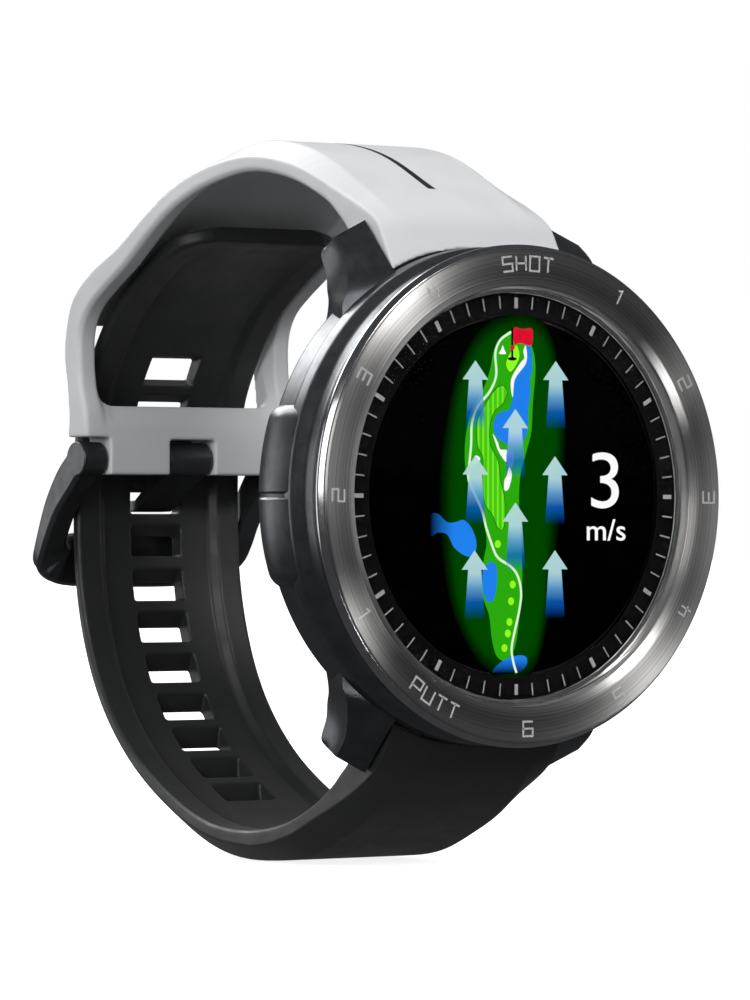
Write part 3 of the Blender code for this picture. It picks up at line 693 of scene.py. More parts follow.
def make_bezel_and_lens():
    flat_part = [
        (20.2, 12.0),
        (21.0, BEZEL_TOP),
        (23.62, BEZEL_TOP),
        (23.8, 12.2),
        (22.6, 11.6),
        (22.6, 10.15),
        (19.55, 10.15),
        (19.55, 10.5),
        (20.2, 10.5),
    ]
    top = turned("bezel_ring", rounded(flat_part, 0.06, 3), BEZEL_STEEL, 360)
    placed(top, "watch_case", "brushed_steel", "bezel")
    edge_part = [(23.0, 12.1), (23.78, 12.12), (24.2, 11.6), (24.2, 11.25), (22.7, 11.25), (22.7, 11.7)]
    edge = turned("bezel_polished_edge", rounded(edge_part, 0.12, 4), POLISHED, 360)
    placed(edge, "watch_case", "brushed_steel", "bezel")
    lens = [(0, 12.1), (19.6, 12.1), (19.95, 11.8), (19.95, 10.9), (0, 10.9)]
    glass = turned("cover_glass", rounded(lens, 0.12, 3), LENS)
    glass.visible_shadow = False
    placed(glass, "watch_case", "lens_glass", "cover_lens")


# Strokes of the bezel's scale figures on a square of side 1.
GLYPHS = {
    "S": [([(1, 1), (0, 1), (0, 0.5), (1, 0.5), (1, 0), (0, 0)], False)],
    "H": [([(0, 0), (0, 1)], False), ([(0, 0.5), (1, 0.5)], False), ([(1, 0), (1, 1)], False)],
    "O": [([(0, 0), (0, 1), (1, 1), (1, 0)], True)],
    "T": [([(0, 1), (1, 1)], False), ([(0.5, 1), (0.5, 0)], False)],
    "P": [([(0, 0), (0, 1), (1, 1), (1, 0.4), (0, 0.4)], False)],
    "U": [([(0, 1), (0, 0), (1, 0), (1, 1)], False)],
    "1": [([(0.2, 0.85), (0.55, 1), (0.55, 0)], False)],
    "2": [([(0, 1), (1, 1), (1, 0.5), (0, 0.5), (0, 0), (1, 0)], False)],
    "3": [([(0, 1), (1, 1), (1, 0), (0, 0)], False), ([(0.1, 0.5), (1, 0.5)], False)],
    "4": [([(0.05, 1), (0.05, 0.4), (1, 0.4)], False), ([(0.72, 0.95), (0.72, 0)], False)],
    "5": [([(1, 1), (0, 1), (0, 0.5), (1, 0.5), (1, 0), (0, 0)], False)],
    "6": [([(1, 1), (0, 1), (0, 0), (1, 0), (1, 0.52), (0, 0.52)], False)],
}
SCALE_LABELS = ["SHOT", "1", "2", "3", "4", "5", "6", "PUTT", "1", "2", "3", "4"]
READ_INWARD = (4, 5, 6, 7, 8)
GLYPH_HEIGHT = 1.4
GLYPH_WIDTH = 1.14
GLYPH_STEP_DEG = 4.2
LABEL_RADIUS = 22.35


def make_scale_figures():
    """Generic figures and stroke words filled into the bezel, one label every 30 degrees."""
    lines = []
    for hour, label in enumerate(SCALE_LABELS):
        inward = -1 if hour in READ_INWARD else 1
        for place, glyph in enumerate(label):
            shift = (place - (len(label) - 1) / 2) * GLYPH_STEP_DEG * inward
            turn = math.radians(hour * 30 + shift)
            up = Vector((math.sin(turn), math.cos(turn)))
            across = Vector((math.cos(turn), -math.sin(turn))) * inward
            middle = up * LABEL_RADIUS
            up = up * inward
            for points, closed in GLYPHS[glyph]:
                spots = [
                    middle + across * (x - 0.5) * GLYPH_WIDTH + up * (y - 0.5) * GLYPH_HEIGHT
                    for x, y in points
                ]
                lines.append((spots, closed))
    figures = ribbons("bezel_scale_figures", lines, 0.19, BEZEL_TOP - 0.03, 0.045, PAINT)
    placed(figures, "watch_case", "brushed_steel")


def make_minute_marks():
    lines = {0.13: [], 0.4: []}
    for minute in range(60):
        turn = math.radians(minute * 6)
        out = Vector((math.sin(turn), math.cos(turn)))
        wide = minute % 5 == 0
        lines[0.4 if wide else 0.13].append(
            ([out * 18.1, out * (19.12 if wide else 19.3)], False)
        )
    for width, found in lines.items():
        name = "hour_marks" if width > 0.2 else "minute_marks"
        marks = ribbons(name, found, width, 10.44, 0.03, MARKS)
        placed(marks, "watch_case", "dial_black")
    outline = [(17.4, 10.0), (17.4, 10.45), (20.1, 10.45), (20.1, 10.0)]
    base = turned("dial_mark_ring", rounded(outline, 0.03, 2), DIAL, 256)
    placed(base, "watch_case", "dial_black", "dial_ring")


# ---------------------------------------------------------------- display

LIME = linear(112, 236, 32)
HOLE_GREEN = linear(44, 172, 14)
DEEP_GREEN = linear(0, 68, 0)
WATER = linear(32, 130, 240)
CREAM = linear(222, 250, 214)
WHITE = linear(255, 255, 255)

ROUGH_EDGE = [
    (0.6, 17.3), (3.6, 15.9), (5.0, 12.3), (5.7, 6.3), (5.1, -0.3), (4.2, -7.6), (3.6, -12.0),
    (2.3, -16.0), (-0.4, -17.3), (-4.0, -15.7), (-6.7, -11.9), (-8.0, -7.6), (-8.6, -0.4),
    (-8.0, 6.2), (-6.5, 12.1), (-3.6, 15.9),
]
HOLE_EDGE = [
    (-0.7, 15.9), (1.0, 15.5), (2.0, 14.4), (2.4, 12.4), (2.1, 9.2), (1.9, 6.3), (1.4, 4.6),
    (0.6, 2.2), (0.4, -0.6), (0.6, -4.0), (0.8, -7.6), (0.5, -11.2), (0.0, -14.2), (-0.7, -15.5),
    (-1.6, -15.8), (-2.4, -15.2), (-2.9, -13.6), (-3.2, -11.5), (-4.0, -9.4), (-3.9, -6.4),
    (-3.5, -4.4), (-3.9, -2.4), (-4.4, -0.6), (-5.6, 0.9), (-6.1, 3.2), (-6.0, 5.8), (-5.3, 8.2),
    (-4.1, 9.9), (-3.1, 12.1), (-2.5, 14.3),
]
CART_PATH = [
    (-0.6, 15.8), (-1.9, 15.0), (-2.5, 13.7), (-2.4, 11.6), (-3.2, 10.0), (-4.6, 8.6), (-5.3, 7.0),
    (-5.4, 5.0), (-5.6, 3.2), (-5.7, 1.6), (-5.0, 0.2), (-4.1, -1.4), (-3.6, -3.0), (-2.9, -4.7),
    (-2.2, -5.9), (-0.6, -6.8), (0.2, -7.7), (0.6, -9.2), (0.4, -10.9), (-0.2, -13.1),
    (-0.55, -14.7), (-0.3, -16.1), (0.05, -17.0),
]
FAIRWAY_EDGE = [
    (-1.6, 10.7), (-1.0, 10.0), (-1.5, 8.9), (-2.6, 8.0), (-3.1, 6.5), (-3.0, 4.9), (-2.1, 3.4),
    (-1.8, 1.6), (-1.4, 0.2), (-1.2, -1.6), (-1.5, -3.2), (-2.2, -3.1), (-2.9, -1.8), (-3.8, -0.7),
    (-4.0, 1.4), (-4.0, 3.6), (-4.6, 4.7), (-4.8, 6.4), (-4.5, 7.7), (-3.6, 9.0), (-2.5, 10.3),
]
LAKE_EDGE = [
    (1.3, 14.6), (1.8, 14.3), (2.0, 12.6), (1.7, 11.2), (1.75, 9.9), (1.5, 8.4), (1.4, 6.4),
    (0.7, 5.2), (-1.0, 5.0), (-2.4, 5.8), (-2.7, 7.0), (-2.0, 8.0), (-0.8, 8.4), (-0.3, 9.8),
    (-0.1, 11.3), (0.8, 12.4),
]
GREEN_EDGE = [(0.0, 14.6), (0.5, 13.8), (0.3, 12.9), (-0.6, 11.9), (-1.25, 12.6), (-0.9, 13.6)]
BUNKERS = [
    [(1.2, 14.5), (0.9, 14.0), (1.0, 13.3), (0.5, 12.8), (-0.6, 11.2)]
    + [(-0.4, 9.5), (-0.1, 11.3), (1.25, 12.9)],
    [(-1.6, 14.5), (-1.4, 14.1), (-1.2, 13.7), (-1.6, 13.65), (-2.05, 13.7), (-1.8, 14.1)],
    [(-2.8, 6.0), (-2.2, 5.2), (-1.9, 4.5), (-1.1, 4.4), (-1.2, 3.3), (-2.1, 4.3), (-2.5, 5.2)],
    [(-0.8, 2.8), (-0.5, 2.0), (-0.9, 0.7), (-1.4, 0.6), (-1.4, 1.5), (-1.1, 2.0)],
    [(-4.8, 3.9), (-4.3, 3.6), (-4.6, 3.2), (-5.3, 3.0), (-5.1, 3.6)],
]
LEFT_POND = [
    (-10.2, -1.9), (-9.3, -1.7), (-8.2, -2.5), (-7.2, -2.5), (-6.2, -2.3), (-5.2, -3.2),
    (-4.7, -4.6), (-5.1, -5.7), (-6.1, -5.7), (-7.4, -4.9), (-8.2, -3.7), (-9.3, -3.5),
    (-10.2, -3.8),
]
MIDDLE_POND = [(-3.0, -6.3), (-2.3, -7.0), (-2.4, -9.1), (-3.0, -10.2), (-3.8, -9.5), (-4.0, -7.3)]
LOW_POND = [(-2.8, -17.0), (-1.9, -16.0), (-0.3, -15.4), (1.1, -15.4), (1.3, -16.2), (0.2, -17.0)]
# Where each fading pond is black and where it is fully lit.
LEFT_FADE = (-10.2, -7.4)
LOW_FADE = (-17.0, -15.6)
STRIPE_PITCH = 0.58 * MM
TEES = [(-2.2, -4.6), (-0.4, -8.5), (-0.6, -10.1), (-0.8, -12.1), (-1.0, -13.2), (-1.4, -14.6)]
ARROW_TIPS = [
    (-4.9, 13.0), (-4.9, 3.9), (-5.0, -5.2), (-0.1, 8.4), (-0.1, -0.6), (4.8, 13.1), (4.7, 3.9),
    (4.7, -5.2),
]
ARROW = [
    (0, 0), (1.55, -1.85), (0.78, -1.85), (1.2, -6.6), (-1.2, -6.6), (-0.78, -1.85),
    (-1.55, -1.85),
]
ARROW_LENGTH = 6.6
FLAG = [(-0.3, 16.2), (0.7, 16.1), (1.9, 16.15), (1.9, 14.65), (1.2, 14.6), (0.5, 14.75), (-0.3, 14.7)]


def soft_light(name, colour, outline, height, rim=0.16):
    """A lit patch whose edge fades away, from rings of points that carry how lit they are."""
    points = [Vector(p) for p in smooth_rows(outline, 5, True)]
    middle = sum(points, Vector((0, 0))) / len(points)
    rings = [(1 - rim * 1.2, 1.0), (1 - rim * 0.7, 0.85), (1 - rim * 0.2, 0.35), (1 + rim * 0.4, 0.0)]
    made = bmesh.new()
    lit = made.verts.layers.float.new("lit")
    loops = []
    for scale, level in rings:
        loop = []
        for point in points:
            # The patch is long, so the fade keeps one width by shrinking X and Z alike.
            away = point - middle
            reach = away.length
            grown = middle + away * ((reach + (scale - 1) * 9.0) / reach)
            vertex = made.verts.new((grown.x * MM, -height * MM, grown.y * MM))
            vertex[lit] = level
            loop.append(vertex)
        loops.append(loop)
    made.faces.new(loops[0])
    count = len(points)
    for first, second in zip(loops, loops[1:]):
        for i in range(count):
            j = (i + 1) % count
            made.faces.new((first[i], first[j], second[j], second[i]))
    bmesh.ops.triangulate(made, faces=made.faces)
    made.normal_update()
    for face in made.faces:
        if face.normal.y > 0:
            face.normal_flip()
    shader = glowing(name + "_light")
    level = shader.nodes.new("ShaderNodeAttribute")
    level.attribute_name = "lit"
    shader.colour(level.outputs["Fac"], (0, 0, 0, 1), colour, "Emission Color", 0.0, 1.0)
    return finished(made, name, shader.material)


def fading_light(name, colour, axis, dark, lit):
    """A lit area of the display that goes black along one axis, between two places in millimetres."""
    made = glowing(name)
    share = made.math("MULTIPLY_ADD", made.local(axis), 1000 / (lit - dark))
    share.node.inputs[2].default_value = -dark / (lit - dark)
    made.colour(share, (0, 0, 0, 1), colour, "Emission Color", 0.0, 1.0)
    return made.material


def striped_light(name):
    """Mown stripes of the fairway."""
    made = glowing(name)
    wave = made.math("SINE", made.math("MULTIPLY", made.local("X"), math.tau / STRIPE_PITCH))
    made.colour(wave, linear(74, 196, 24), LIME, "Emission Color", 0.0, 0.5)
    return made.material


def arrow_light(name):
    """Pale at the arrow's head, then blue, and clear at its tail, down local Z."""
    made = glowing(name)
    down = made.math("MULTIPLY", made.local("Z"), -1 / (ARROW_LENGTH * MM))
    colours = made.ramp(
        down,
        [
            (0.0, linear(182, 220, 218)),
            (0.98, linear(0, 76, 168)),
            (0.33, linear(178, 216, 222)),
            (0.55, linear(96, 160, 212)),
            (0.75, linear(10, 94, 184)),
        ],
    )
    made.links.new(colours, made.base.inputs["Emission Color"])
    clear = made.ramp(down, [(0.0, grey(0.94)), (1.0, grey(0.0)), (0.45, grey(0.9)), (0.8, grey(0.7))])
    made.links.new(clear, made.base.inputs["Alpha"])
    return made.material


def oval(x, z, wide, tall, count=20):
    return [
        (x + wide * math.cos(math.tau * i / count), z + tall * math.sin(math.tau * i / count))
        for i in range(count)
    ]


def words(name, text, size, x, z, height, surface, weight, broad):
    """Plain sans figures on the display, centred on x with their foot at z. weight thickens
    their strokes and broad stretches them across."""
    curve = bpy.data.curves.new(name, "FONT")
    curve.body = text
    curve.size = size * MM
    curve.align_x = "CENTER"
    curve.offset = weight * MM
    curve.extrude = 0.01 * MM
    place = Matrix.Translation((x * MM, -height * MM, z * MM)) @ FACING
    made = bpy.data.objects.new(name, curve)
    bpy.context.scene.collection.objects.link(made)
    made.matrix_world = place
    bpy.context.view_layer.update()
    graph = bpy.context.evaluated_depsgraph_get()
    mesh = bpy.data.meshes.new_from_object(made.evaluated_get(graph))
    bpy.data.objects.remove(made, do_unlink=True)
    mesh.transform(Matrix.Diagonal((broad, 1, 1, 1)))
    return add(name, mesh, surface, place)


def make_display():
    def on_screen(obj):
        return placed(obj, "watch_case", "screen")

    panel = [(0, 10.36), (17.1, 10.36), (17.1, 9.45), (0, 9.45)]
    black = grained(
        "display_black", grey(0.0), grey(0.0004), (0.5, 0.6), 9000.0, 0.0, Specular_IOR_Level=0.0
    )
    base = turned("display_face", rounded(panel, 0.03, 2), black, 192)
    placed(base, "watch_case", "screen", "display_panel")

    level = SCREEN_HEIGHT
    water = screen_light("map_water", WATER)
    sand = screen_light("map_sand", WHITE)
    lime = screen_light("map_lime", linear(146, 255, 34))
    broad_green = [(x * 1.02 - 0.01, z) for x, z in GREEN_EDGE]
    shapes = [
        ("map_left_pond", LEFT_POND, 0.01, fading_light("map_left_water", WATER, "X", *LEFT_FADE)),
        ("map_hole", HOLE_EDGE, 0.02, screen_light("map_grass", HOLE_GREEN)),
        ("map_fairway_edge", FAIRWAY_EDGE, 0.03, screen_light("map_line", linear(26, 118, 12))),
        ("map_green_edge", broad_green, 0.03, screen_light("map_line_two", linear(40, 140, 14))),
        ("map_fairway", shrunk(FAIRWAY_EDGE, 0.09), 0.04, striped_light("map_stripes")),
        ("map_green", shrunk(GREEN_EDGE, 0.07), 0.04, lime),
        ("map_lake", LAKE_EDGE, 0.05, water),
        ("map_middle_pond", MIDDLE_POND, 0.05, water),
        ("map_low_pond", LOW_POND, 0.05, fading_light("map_low_water", WATER, "Z", *LOW_FADE)),
    ]
    rough = soft_light("map_rough", DEEP_GREEN, ROUGH_EDGE, level)
    on_screen(rough)
    for name, outline, rise, surface in shapes:
        on_screen(flat_shape(name, outline, level + rise, surface))
    for number, outline in enumerate(BUNKERS, 1):
        on_screen(flat_shape(f"map_bunker_{number}", outline, level + 0.06, sand))
    pale = screen_light("map_pale_water", linear(120, 168, 246))
    on_screen(flat_shape("map_small_pond", oval(-0.72, 3.7, 0.48, 0.95), level + 0.07, pale, 0))
    path = smooth_rows(CART_PATH, 5)
    cream = screen_light("map_path_cream", CREAM)
    on_screen(ribbons("map_cart_path", [(path, False)], 0.26, level + 0.08, 0.005, cream))
    for number, (x, z) in enumerate(TEES, 1):
        on_screen(flat_shape(f"map_tee_{number}", oval(x, z, 0.36, 0.38), level + 0.07, lime, 0))
    arrows = arrow_light("wind_arrow_light")
    for number, (x, z) in enumerate(ARROW_TIPS, 1):
        made = flat_shape(f"wind_arrow_{number}", ARROW, 0, arrows, 0)
        made.matrix_world = Matrix.Translation((x * MM, -(level + 0.10) * MM, z * MM))
        on_screen(made)
    ink = screen_light("flag_pole_black", linear(4, 4, 4))
    red = screen_light("flag_red", linear(232, 18, 48), 0.25)
    on_screen(ribbons("flag_pole", [([(-0.5, 16.2), (-0.5, 13.2)], False)], 0.24, level + 0.12, 0.01, ink))
    on_screen(flat_shape("flag_foot", oval(-0.5, 13.22, 0.55, 0.17), level + 0.12, ink, 0))
    on_screen(flat_shape("flag_cloth", FLAG, level + 0.13, red, 4))
    on_screen(flat_shape("flag_ball", oval(-0.5, 14.3, 0.3, 0.24), level + 0.14, red, 0))
    on_screen(words("wind_figure", "3", 7.85, 10.9, -1.1, level + 0.12, sand, -0.02, 1.22))
    on_screen(words("wind_unit", "m/s", 2.95, 10.95, -4.25, level + 0.12, sand, 0.015, 1.2))


def shrunk(outline, by):
    """The outline moved inwards by a distance."""
    points = [Vector(p) for p in outline]
    count = len(points)
    area = sum(points[i - 1].cross(points[i]) for i in range(count))
    found = []
    for i, point in enumerate(points):
        along = (points[(i + 1) % count] - points[i - 1]).normalized()
        inward = Vector((-along.y, along.x)) * (1 if area > 0 else -1)
        found.append(tuple(point + inward * by))
    return found


# ---------------------------------------------------------------- back and buttons


def at_dial(angle_deg, radius):
    turn = math.radians(angle_deg)
    return radius * math.sin(turn), radius * math.cos(turn)


def make_back():
    profile = [(9.3, 1.9), (19.5, 1.9), (19.5, 0.3), (9.3, 0.3)]
    back = turned("case_back_plate", rounded(profile, 0.15, 3), BACK_STEEL)
    for angle in (45, 135, 225, 315):
        x, z = at_dial(angle, 17.0)
        hole = [(0, 1.15), (1.35, 1.15), (1.35, -0.5), (0, -0.5)]
        combine(back, turned("sink", hole, None, 48, facing_at(x, z)))
        hole = [(0, 2.5), (0.75, 2.5), (0.75, -0.5), (0, -0.5)]
        combine(back, turned("screw_hole", hole, None, 48, facing_at(x, z)))
    for x in (-3.75, -1.25, 1.25, 3.75):
        hole = [(0, 2.5), (0.95, 2.5), (0.95, -0.5), (0, -0.5)]
        combine(back, turned("contact_hole", hole, None, 48, facing_at(x, -12.5)))
    placed(shaded(back), "watch_case", "brushed_steel", "case_back")
    window = [(0, 1.5), (9.0, 1.5), (9.0, 0.2), (8.7, 0), (0, 0)]
    glass = turned("sensor_glass", rounded(window, 0.2, 5), SENSOR_GLASS, 192)
    placed(glass, "watch_case", "lens_glass", "sensor_window")
    for number in range(4):
        x, z = at_dial(number * 90 + 45, 4.6)
        cell = [(0, 0.3), (1.5, 0.3), (1.5, -0.004), (1.3, -0.008), (0, -0.008)]
        made = turned(f"sensor_cell_{number + 1}", cell, SENSOR_CELL, 48, facing_at(x, z))
        placed(made, "watch_case", "lens_glass")
        x, z = at_dial(number * 90, 2.6)
        led = [(0, 0.3), (0.7, 0.3), (0.7, -0.004), (0.6, -0.008), (0, -0.008)]
        made = turned(f"sensor_led_{number + 1}", led, LED_GREEN, 32, facing_at(x, z))
        placed(made, "watch_case", "lens_glass")


def make_button(name, z):
    y = -BUTTON_HEIGHT
    cap = box(name + "_cap", (22.2, y - 1.6, z - 3.5), (25.0, y + 1.6, z + 3.5), BRIGHT)
    combine(cap, rod("stem", 0.6, 18.0, 22.6, y, z), "UNION")
    for groove in range(-4, 5):
        spot = z + groove * 0.62
        cutter = box("groove", (24.85, y - 1.1, spot - 0.12), (26.0, y + 1.1, spot + 0.12))
        combine(cap, cutter)
    bevelled(cap, 0.3, 3, 40)
    placed(cap, name, "bright_steel", name)


# ---------------------------------------------------------------- straps

UPPER_STRAP = [
    (0.9, 21.8, -4.9, 21.8, 10.6, 0.0, 0.0),
    (1.9, 24.6, -3.3, 25.0, 10.6, 0.0, 0.0),
    (2.9, 26.0, -2.0, 26.8, 10.6, 0.25, 0.0),
    (4.3, 27.4, 0.6, 28.3, 10.7, 0.8, 0.0),
    (6.9, 29.2, 4.8, 30.1, 10.7, 1.3, 0.1),
    (12.6, 31.4, 11.6, 32.7, 10.8, 1.7, 0.6),
    (19.0, 32.4, 18.9, 33.9, 11.1, 1.7, 1.0),
    (24.5, 31.4, 25.2, 33.0, 12.2, 1.7, 1.6),
    (29.2, 29.5, 30.3, 31.0, 13.0, 1.6, 1.9),
    (33.3, 27.0, 34.6, 28.4, 13.3, 1.5, 1.9),
    (38.0, 23.8, 39.2, 25.6, 13.3, 1.5, 1.9),
    (42.3, 21.3, 43.9, 23.4, 13.3, 1.4, 2.2),
    (45.0, 19.4, 47.4, 20.9, 13.3, 1.4, 2.5),
    (46.3, 17.2, 48.8, 18.0, 13.3, 1.4, 2.6),
    (46.5, 14.4, 49.2, 14.8, 13.3, 1.3, 2.4),
    (46.2, 11.6, 48.7, 11.8, 13.3, 1.2, 1.6),
    (45.4, 8.8, 48.4, 8.9, 13.3, 1.2, 0.3),
    (45.1, 5.8, 48.5, 5.8, 13.3, 1.2, 0.0),
    (45.1, 2.5, 48.6, 2.5, 13.3, 1.1, 0.0),
]
LOWER_STRAP = [
    (0.9, -21.8, -4.9, -21.8, 10.6, 0.0, 0.0),
    (1.9, -24.6, -3.3, -25.0, 10.6, 0.0, 0.0),
    (2.9, -25.9, -1.6, -26.8, 10.6, 0.6, 0.0),
    (4.2, -27.0, 1.4, -28.6, 10.6, 1.5, 0.0),
    (6.0, -28.5, 4.4, -30.0, 10.6, 2.1, 0.1),
    (9.5, -30.5, 8.6, -31.7, 10.5, 2.3, 0.6),
    (13.7, -32.1, 13.2, -33.5, 10.4, 2.1, 0.8),
    (18.5, -33.0, 18.4, -34.6, 10.3, 1.6, 0.8),
    (24.1, -33.1, 24.4, -34.5, 10.2, 1.7, 0.8),
    (29.2, -32.2, 29.7, -33.4, 10.2, 1.7, 0.8),
    (34.8, -29.9, 35.4, -31.0, 10.2, 1.6, 0.8),
    (40.3, -26.6, 41.0, -27.5, 10.2, 1.6, 0.8),
    (44.6, -22.7, 45.4, -23.4, 10.2, 1.6, 0.8),
    (47.6, -18.5, 48.5, -19.0, 10.2, 1.6, 0.8),
    (49.7, -13.6, 50.7, -13.9, 10.2, 1.6, 0.8),
    (51.0, -8.2, 52.0, -8.3, 10.2, 1.6, 0.8),
    (51.4, -2.5, 52.4, -2.4, 10.2, 1.5, 0.8),
    (51.4, 2.4, 52.4, 2.6, 10.2, 1.4, 0.8),
    (51.0, 6.4, 52.0, 6.8, 10.2, 1.2, 0.8),
    (49.9, 10.5, 50.8, 11.2, 10.2, 1.0, 0.6),
    (47.7, 14.3, 48.7, 15.2, 10.2, 0.9, 0.5),
    (44.9, 17.9, 45.8, 19.0, 10.2, 0.8, 0.5),
    (41.3, 20.9, 42.1, 22.1, 10.2, 0.7, 0.5),
    (37.0, 23.5, 37.6, 24.8, 10.2, 0.7, 0.4),
    (33.6, 25.1, 34.0, 26.5, 9.8, 0.6, 0.2),
    (31.8, 25.8, 32.2, 27.1, 8.4, 0.5, 0.0),
    (31.0, 26.1, 31.3, 27.3, 6.8, 0.4, 0.0),
]
UPPER_CHANNEL = 10.9
LOWER_CHANNEL = 7.0
UPPER_PANEL = 8.4
LOWER_PANEL = 8.0
WINDOW_CORNER = 1.4
WINDOW_HALF = 10.7
STRAP_VOXEL = 0.17


def strap_section(row, channel_half, panel_half):
    """One closed section across a strap: channel floor, rail, side, chamfer and middle panel."""
    inner_y, inner_z, outer_y, outer_z, half, crown, channel = row
    inner = Vector((0, inner_y, inner_z))
    across = Vector((0, outer_y, outer_z)) - inner
    thick = across.length
    out = across.normalized()
    edge = min(0.35, thick * 0.3)
    channel_edge = min(channel_half, half - 1.3)
    places = [
        (channel_edge - 0.4, channel),
        (channel_edge + 0.4, 0.0),
        (half - edge, 0.0),
        (half, edge),
        (half, thick),
        (min(panel_half, half - 1.4), thick + crown),
    ]
    right = [inner + out * depth + Vector((x, 0, 0)) for x, depth in places]
    left = [Vector((-p.x, p.y, p.z)) for p in reversed(right)]
    return right + left


def strap(name, rows, surface, channel_half, panel_half):
    sections = [strap_section(row, channel_half, panel_half) for row in smooth_rows(rows, 6)]
    return loft(name, sections, surface)


def case_clearance():
    outer = [(24.55, 13.0), (24.55, 5.2), (24.15, 4.8), (23.95, 1.9), (23.0, 0.6), (21.0, 0.1)]
    return turned("clearance", [(0, 13.0), *outer, (0, 0.1)], None, 256)


def cut_slots(obj, rows):
    """Cuts the sizing holes along the strap's middle line, from the one that is in use."""
    fine = smooth_rows(rows, 24)
    line = [Vector((0, (r[0] + r[2]) / 2, (r[1] + r[3]) / 2)) for r in fine]
    lengths = [0.0]
    for first, second in zip(line, line[1:]):
        lengths.append(lengths[-1] + (second - first).length)
    start = next(i for i, p in enumerate(line) if p.y > 40 and p.z > -0.05)
    for number in range(-8, 4):
        wanted = lengths[start] + number * SLOT_PITCH
        i = min(range(1, len(line) - 1), key=lambda k: abs(lengths[k] - wanted))
        along = (line[i + 1] - line[i - 1]).normalized()
        out = along.cross(Vector((1, 0, 0)))
        half = SLOT_HEIGHT / 2
        wide = half + SLOT_SLOPE * (SLOT_CUT_DEPTH + SLOT_MOUTH)
        tight = half - SLOT_SLOPE * (SLOT_CUT_DEPTH - SLOT_MOUTH)
        outline = [
            (-half, -SLOT_CUT_DEPTH),
            (wide, -SLOT_CUT_DEPTH),
            (tight, SLOT_CUT_DEPTH),
            (-half, SLOT_CUT_DEPTH),
        ]
        ends = [
            [line[i] + Vector((x, 0, 0)) + along * u + out * v for u, v in outline]
            for x in (-SLOT_HALF_WIDTH, SLOT_HALF_WIDTH)
        ]
        combine(obj, loft("slot", ends, None))


def cut_bar_seat(obj, end):
    combine(obj, rod("bore", 1.0, -12, 12, BAR_Y, end * BAR_Z))
    recess = box("recess", (4.4, BAR_Y, end * BAR_Z - 0.85), (8.9, 6.0, end * BAR_Z + 0.85))
    combine(obj, recess)


def make_upper_strap():
    upper = strap("white_strap", UPPER_STRAP, WHITE_RUBBER, UPPER_CHANNEL, UPPER_PANEL)
    combine(upper, case_clearance())
    cut_bar_seat(upper, 1)
    window = [
        (43.6, 4.5), (46.3, 9.6), (47.5, 9.6), (50.4, 6.2), (54.0, 6.2), (54.0, 18.0), (43.6, 18.0)
    ]
    sections = []
    right = [9.3, 9.8, 10.2, 10.5, 10.66, WINDOW_HALF]
    for x in [-place for place in reversed(right)] + right:
        side = WINDOW_CORNER - (WINDOW_HALF - abs(x))
        inset = WINDOW_CORNER - math.sqrt(WINDOW_CORNER**2 - side**2) if side > 0 else 0.0
        sections.append([(x, y, z - inset if z > 17 else z + inset) for y, z in window])
    combine(upper, loft("window", sections, None))
    combine(upper, box("prong_gap", (-2.85, 43, 1.0), (2.85, 52, 6.15)))
    for side in (-1, 1):
        low, high = sorted((side * 10.25, side * 15.0))
        combine(upper, box("arm_gap", (low, 43, 1.0), (high, 52, 6.35)))
    combine(upper, rod("bore", 0.72, -12, 12, PIN_Y, PIN_Z))
    moulded(upper, STRAP_VOXEL, 4)
    placed(upper, "upper_strap", "white_rubber", "upper_strap")


def make_strap_stripe():
    """A printed line that runs along the strap's top panel and narrows away from the case."""
    rows = [row for row in smooth_rows(UPPER_STRAP, 8) if 6.2 < row[0] < 21.0]
    sections = []
    for i, row in enumerate(rows):
        inner = Vector((0, row[0], row[1]))
        across = Vector((0, row[2], row[3])) - inner
        out = across.normalized()
        share = i / (len(rows) - 1)
        centre = inner + out * (across.length + row[5]) + Vector((-0.1 - 1.2 * share, 0, 0))
        half = 0.46 - 0.3 * share
        low, high = out * -0.25, out * 0.012
        wide = Vector((half, 0, 0))
        corners = (wide + low, wide + high, high - wide, low - wide)
        sections.append([centre + corner for corner in corners])
    stripe = shaded(loft("strap_stripe", sections, STRIPE))
    placed(stripe, "upper_strap", "white_rubber")


def make_lower_strap():
    lower = strap("black_strap", LOWER_STRAP, BLACK_RUBBER, LOWER_CHANNEL, LOWER_PANEL)
    combine(lower, case_clearance())
    cut_bar_seat(lower, -1)
    cut_slots(lower, LOWER_STRAP)
    moulded(lower, STRAP_VOXEL * 0.85, 2)
    placed(lower, "lower_strap", "black_rubber", "lower_strap")


# ---------------------------------------------------------------- buckle

FRAME_PATH = [
    (-11.9, 47.6, 3.7, 1.4, 1.6),
    (-11.9, 49.7, 1.9, 1.4, 1.65),
    (-11.9, 51.9, -0.5, 1.4, 1.35),
    (-11.9, 53.2, -2.6, 1.4, 1.15),
    (-11.8, 54.2, -4.6, 1.5, 1.0),
    (-11.1, 55.0, -5.9, 2.1, 0.9),
    (-9.4, 56.05, -6.3, 2.6, 0.8),
    (-6.5, 56.3, -6.3, 2.9, 0.75),
    (-3.0, 56.4, -6.3, 3.0, 0.75),
    (0.0, 56.4, -6.3, 3.0, 0.75),
]


